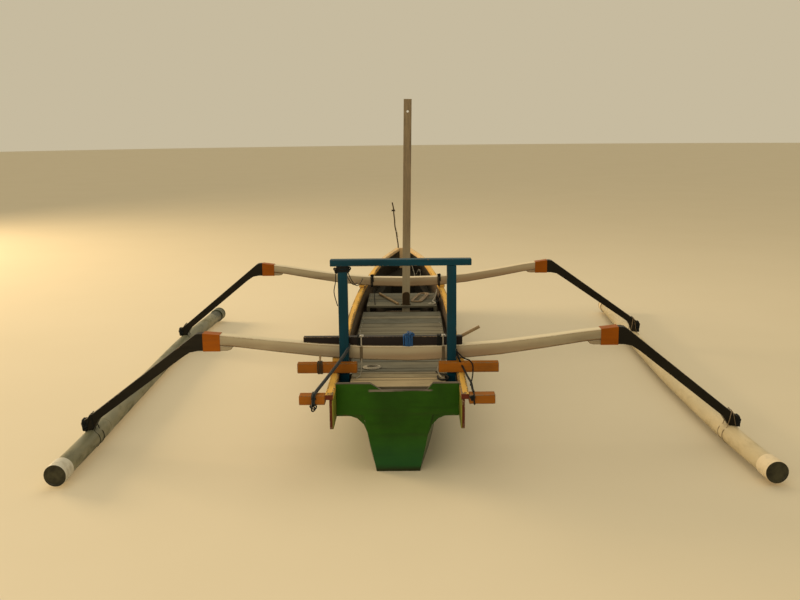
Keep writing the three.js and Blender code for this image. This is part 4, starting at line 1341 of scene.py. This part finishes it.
def build_clamp_cords():
    """Blue cord wrapped round the clamp bar and the pale cords that hang to the deck."""
    low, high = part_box("clamp_bar")
    layers = ((0.05, 0.0, 0.006), (0.087, 0.004, 0.006), (0.07, 0.009, 0.012))
    coils = [
        bar_wraps("clamp_bar", x, (out, 0.005), 3, 0.0105, lift=lift, start=start)
        for start, (x, lift, out) in enumerate(layers)
    ]
    lumps = [
        knot((0.062 + 0.03 * i, low.y - 0.006, high.z + 0.004 + 0.006 * i), 0.02, i) for i in range(2)
    ]
    ropes("clamp_cord", coils + lumps, 0.0045, "blue_rope")

    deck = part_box("deck_aft")[1].z + 0.0045
    beam_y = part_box("beam_aft")[0].y
    for place, x, y, sway in (("port", -0.252, -1.53, 0.008), ("starboard", 0.272, -1.54, -0.01)):
        tail = smooth_path([
            (x + 0.01, beam_y - 0.006, beam_top("aft", x) - 0.085), (x + 0.008, beam_y - 0.012, 0.61),
            (x + sway, y + 0.012, 0.575), (x, y, deck + 0.012), (x - sway, y - 0.03, deck),
            (x - 3 * sway, y - 0.07, deck),
        ])
        ropes(f"clamp_tail_{place}", [tail], 0.0035, "pale_rope")


def build_bow_gear():
    """The crooked bow staff with its dark knob and its ties, and the cords in the bow."""
    low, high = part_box("bow_staff")
    foot = Vector((middle_x("bow_staff", low.z), (low.y + high.y) / 2, low.z))
    top = Vector((middle_x("bow_staff", high.z), foot.y, high.z))
    path = []
    for i in range(31):
        share = i / 30
        crook = math.sin(share * 9.4) * 0.0035 + math.sin(share * 23) * 0.0015
        path.append(foot.lerp(top, share) + Vector((crook, crook * 0.6, 0)))
    ropes("bow_stick", [path], 0.0075, "foot", 10, replaces=["bow_staff"])
    spot = foot.lerp(top, 0.82)
    bm = bmesh.new()
    for way in (-1, 1):
        neck, end = Vector((way * 0.002, 0, 0)), Vector((way * 0.02, 0, 0.004))
        rod(bm, spot + neck, spot + end, 0.005, 0.013, 10)
    finish_piece(bm, "bow_staff_knob", "bar")
    ties = []
    for z in (0.845, 0.92):
        at = foot.lerp(top, (z - foot.z) / (top.z - foot.z))
        ties.append(wound(at, 0.0095, 0.0095, 3, 0.0055, along=UP, side=ACROSS, power=1))
    ties.append(smooth_path([
        foot.lerp(top, share) + Vector((x, y, 0))
        for share, x, y in ((0.36, 0.008, -0.006), (0.3, 0.016, -0.01), (0.24, 0.012, -0.008))
    ]))
    ropes("bow_staff_ties", ties, 0.0022, "pale_rope")
    cords = (
        ((0.10, 2.95, 0.60), (0.115, 2.93, 0.545), (0.13, 2.9, 0.495), (0.12, 2.86, 0.46)),
        (
            (0.15, 2.93, 0.5), (0.172, 2.92, 0.545), (0.19, 2.9, 0.55), (0.196, 2.88, 0.5),
            (0.19, 2.86, 0.465),
        ),
    )
    ropes("bow_cords", [smooth_path(c) for c in cords], 0.004, "pale_rope")


def build_deck_gear():
    """The stick on the forward deck and the peg by the port bar."""
    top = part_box("deck_forward")[1].z
    for name, start, end, radius, tip in (
        ("deck_stick", (-0.226, 1.62, top + 0.014), (-0.035, 1.09, top + 0.013), 0.012, 0.0105),
        ("lashing_peg", (-0.52, -1.503, 0.663), (-0.514, -1.575, 0.642), 0.008, 0.006),
    ):
        bm = bmesh.new()
        rod(bm, start, end, radius, tip, 10)
        finish_piece(bm, name, "stick")


# Operators


def run(*builders):
    """Runs an operator's builders in order; what one of them raises is passed on."""
    for build in builders:
        build()
    return {"FINISHED"}


class CANOE_OT_stage(Operator):
    """Make the floor, the lights and the camera"""

    bl_idname = "canoe.stage"
    bl_label = "Stage"

    def execute(self, context):
        return run(build_floor, build_lights, build_camera)


class CANOE_OT_deck_cords(Operator):
    """Lay the free ropes on the decks"""

    bl_idname = "canoe.deck_cords"
    bl_label = "Deck ropes"

    def execute(self, context):
        return run(build_deck_cords)


class CANOE_OT_hull(Operator):
    """Make the lower hull, the stem and the floor timbers"""

    bl_idname = "canoe.hull"
    bl_label = "Hull"

    def execute(self, context):
        return run(build_hull)


class CANOE_OT_washstrakes(Operator):
    """Make the side planks, the gunwale caps and the bow board"""

    bl_idname = "canoe.washstrakes"
    bl_label = "Side planks and gunwales"

    def execute(self, context):
        return run(build_washstrakes)


class CANOE_OT_stern(Operator):
    """Make the transom and the bars on the quarters"""

    bl_idname = "canoe.stern"
    bl_label = "Stern"

    def execute(self, context):
        return run(build_transom, build_stern_bars)


class CANOE_OT_decks(Operator):
    """Make the three decks with their nails"""

    bl_idname = "canoe.decks"
    bl_label = "Decks"

    def execute(self, context):
        return run(*(partial(build_deck, name) for name in DECKS))


class CANOE_OT_mast(Operator):
    """Make the mast, its foot and its step"""

    bl_idname = "canoe.mast"
    bl_label = "Mast"

    def execute(self, context):
        return run(build_mast)


class CANOE_OT_beams(Operator):
    """Make the outrigger beams, arms and bands"""

    bl_idname = "canoe.beams"
    bl_label = "Beams and arms"

    def execute(self, context):
        return run(build_beams)


class CANOE_OT_floats(Operator):
    """Make the floats and their ends"""

    bl_idname = "canoe.floats"
    bl_label = "Floats"

    def execute(self, context):
        return run(build_floats)


class CANOE_OT_gallows(Operator):
    """Make the gallows over the stern"""

    bl_idname = "canoe.gallows"
    bl_label = "Gallows"

    def execute(self, context):
        return run(build_gallows)


class CANOE_OT_clamps(Operator):
    """Make the clamp bar, its bolts, its straps and its stick"""

    bl_idname = "canoe.clamps"
    bl_label = "Clamp bar"

    def execute(self, context):
        return run(build_clamps)


class CANOE_OT_float_lashings(Operator):
    """Lash the arms to the floats"""

    bl_idname = "canoe.float_lashings"
    bl_label = "Float lashings"

    def execute(self, context):
        return run(build_float_lashings)


class CANOE_OT_beam_lashings(Operator):
    """Lash the beams and the clamp bar"""

    bl_idname = "canoe.beam_lashings"
    bl_label = "Beam lashings"

    def execute(self, context):
        return run(build_beam_lashings)


class CANOE_OT_stern_ropes(Operator):
    """Rig the ropes and cords at the stern"""

    bl_idname = "canoe.stern_ropes"
    bl_label = "Stern ropes"

    def execute(self, context):
        return run(build_post_cords, build_stern_ropes, build_clamp_cords)


class CANOE_OT_bow_gear(Operator):
    """Make the bow staff and the cords in the bow"""

    bl_idname = "canoe.bow_gear"
    bl_label = "Bow staff"

    def execute(self, context):
        return run(build_bow_gear)


class CANOE_OT_deck_gear(Operator):
    """Make the stick on the forward deck and the peg astern"""

    bl_idname = "canoe.deck_gear"
    bl_label = "Deck gear"

    def execute(self, context):
        return run(build_deck_gear)


STEPS = (
    CANOE_OT_stage, CANOE_OT_deck_cords, CANOE_OT_hull, CANOE_OT_washstrakes, CANOE_OT_stern,
    CANOE_OT_decks, CANOE_OT_mast, CANOE_OT_beams, CANOE_OT_floats, CANOE_OT_gallows, CANOE_OT_clamps,
    CANOE_OT_float_lashings, CANOE_OT_beam_lashings, CANOE_OT_stern_ropes, CANOE_OT_bow_gear,
    CANOE_OT_deck_gear,
)


class CANOE_PT_panel(Panel):
    """Settings and steps of the canoe"""

    bl_idname = "CANOE_PT_panel"
    bl_label = "Outrigger Canoe"
    bl_space_type = "VIEW_3D"
    bl_region_type = "UI"
    bl_category = "Canoe"

    def draw(self, context):
        canoe = context.scene.canoe
        for group in (canoe.paint, canoe.sizes, canoe.stage):
            column = self.layout.column()
            for name in group.__annotations__:
                column.prop(group, name)
        for step in STEPS:
            self.layout.operator(step.bl_idname)


CLASSES = (CanoePaint, CanoeSizes, CanoeStage, CanoeSettings, *STEPS, CANOE_PT_panel)


def register():
    for kind in CLASSES:
        bpy.utils.register_class(kind)
    bpy.types.Scene.canoe = PointerProperty(
        type=CanoeSettings, name="Canoe", description="Settings of the canoe",
    )


def unregister():
    del bpy.types.Scene.canoe
    for kind in reversed(CLASSES):
        bpy.utils.unregister_class(kind)


def main():
    register()
    for step in STEPS:
        getattr(bpy.ops.canoe, step.bl_idname.split(".")[1])()


if __name__ == "__main__":
    main()
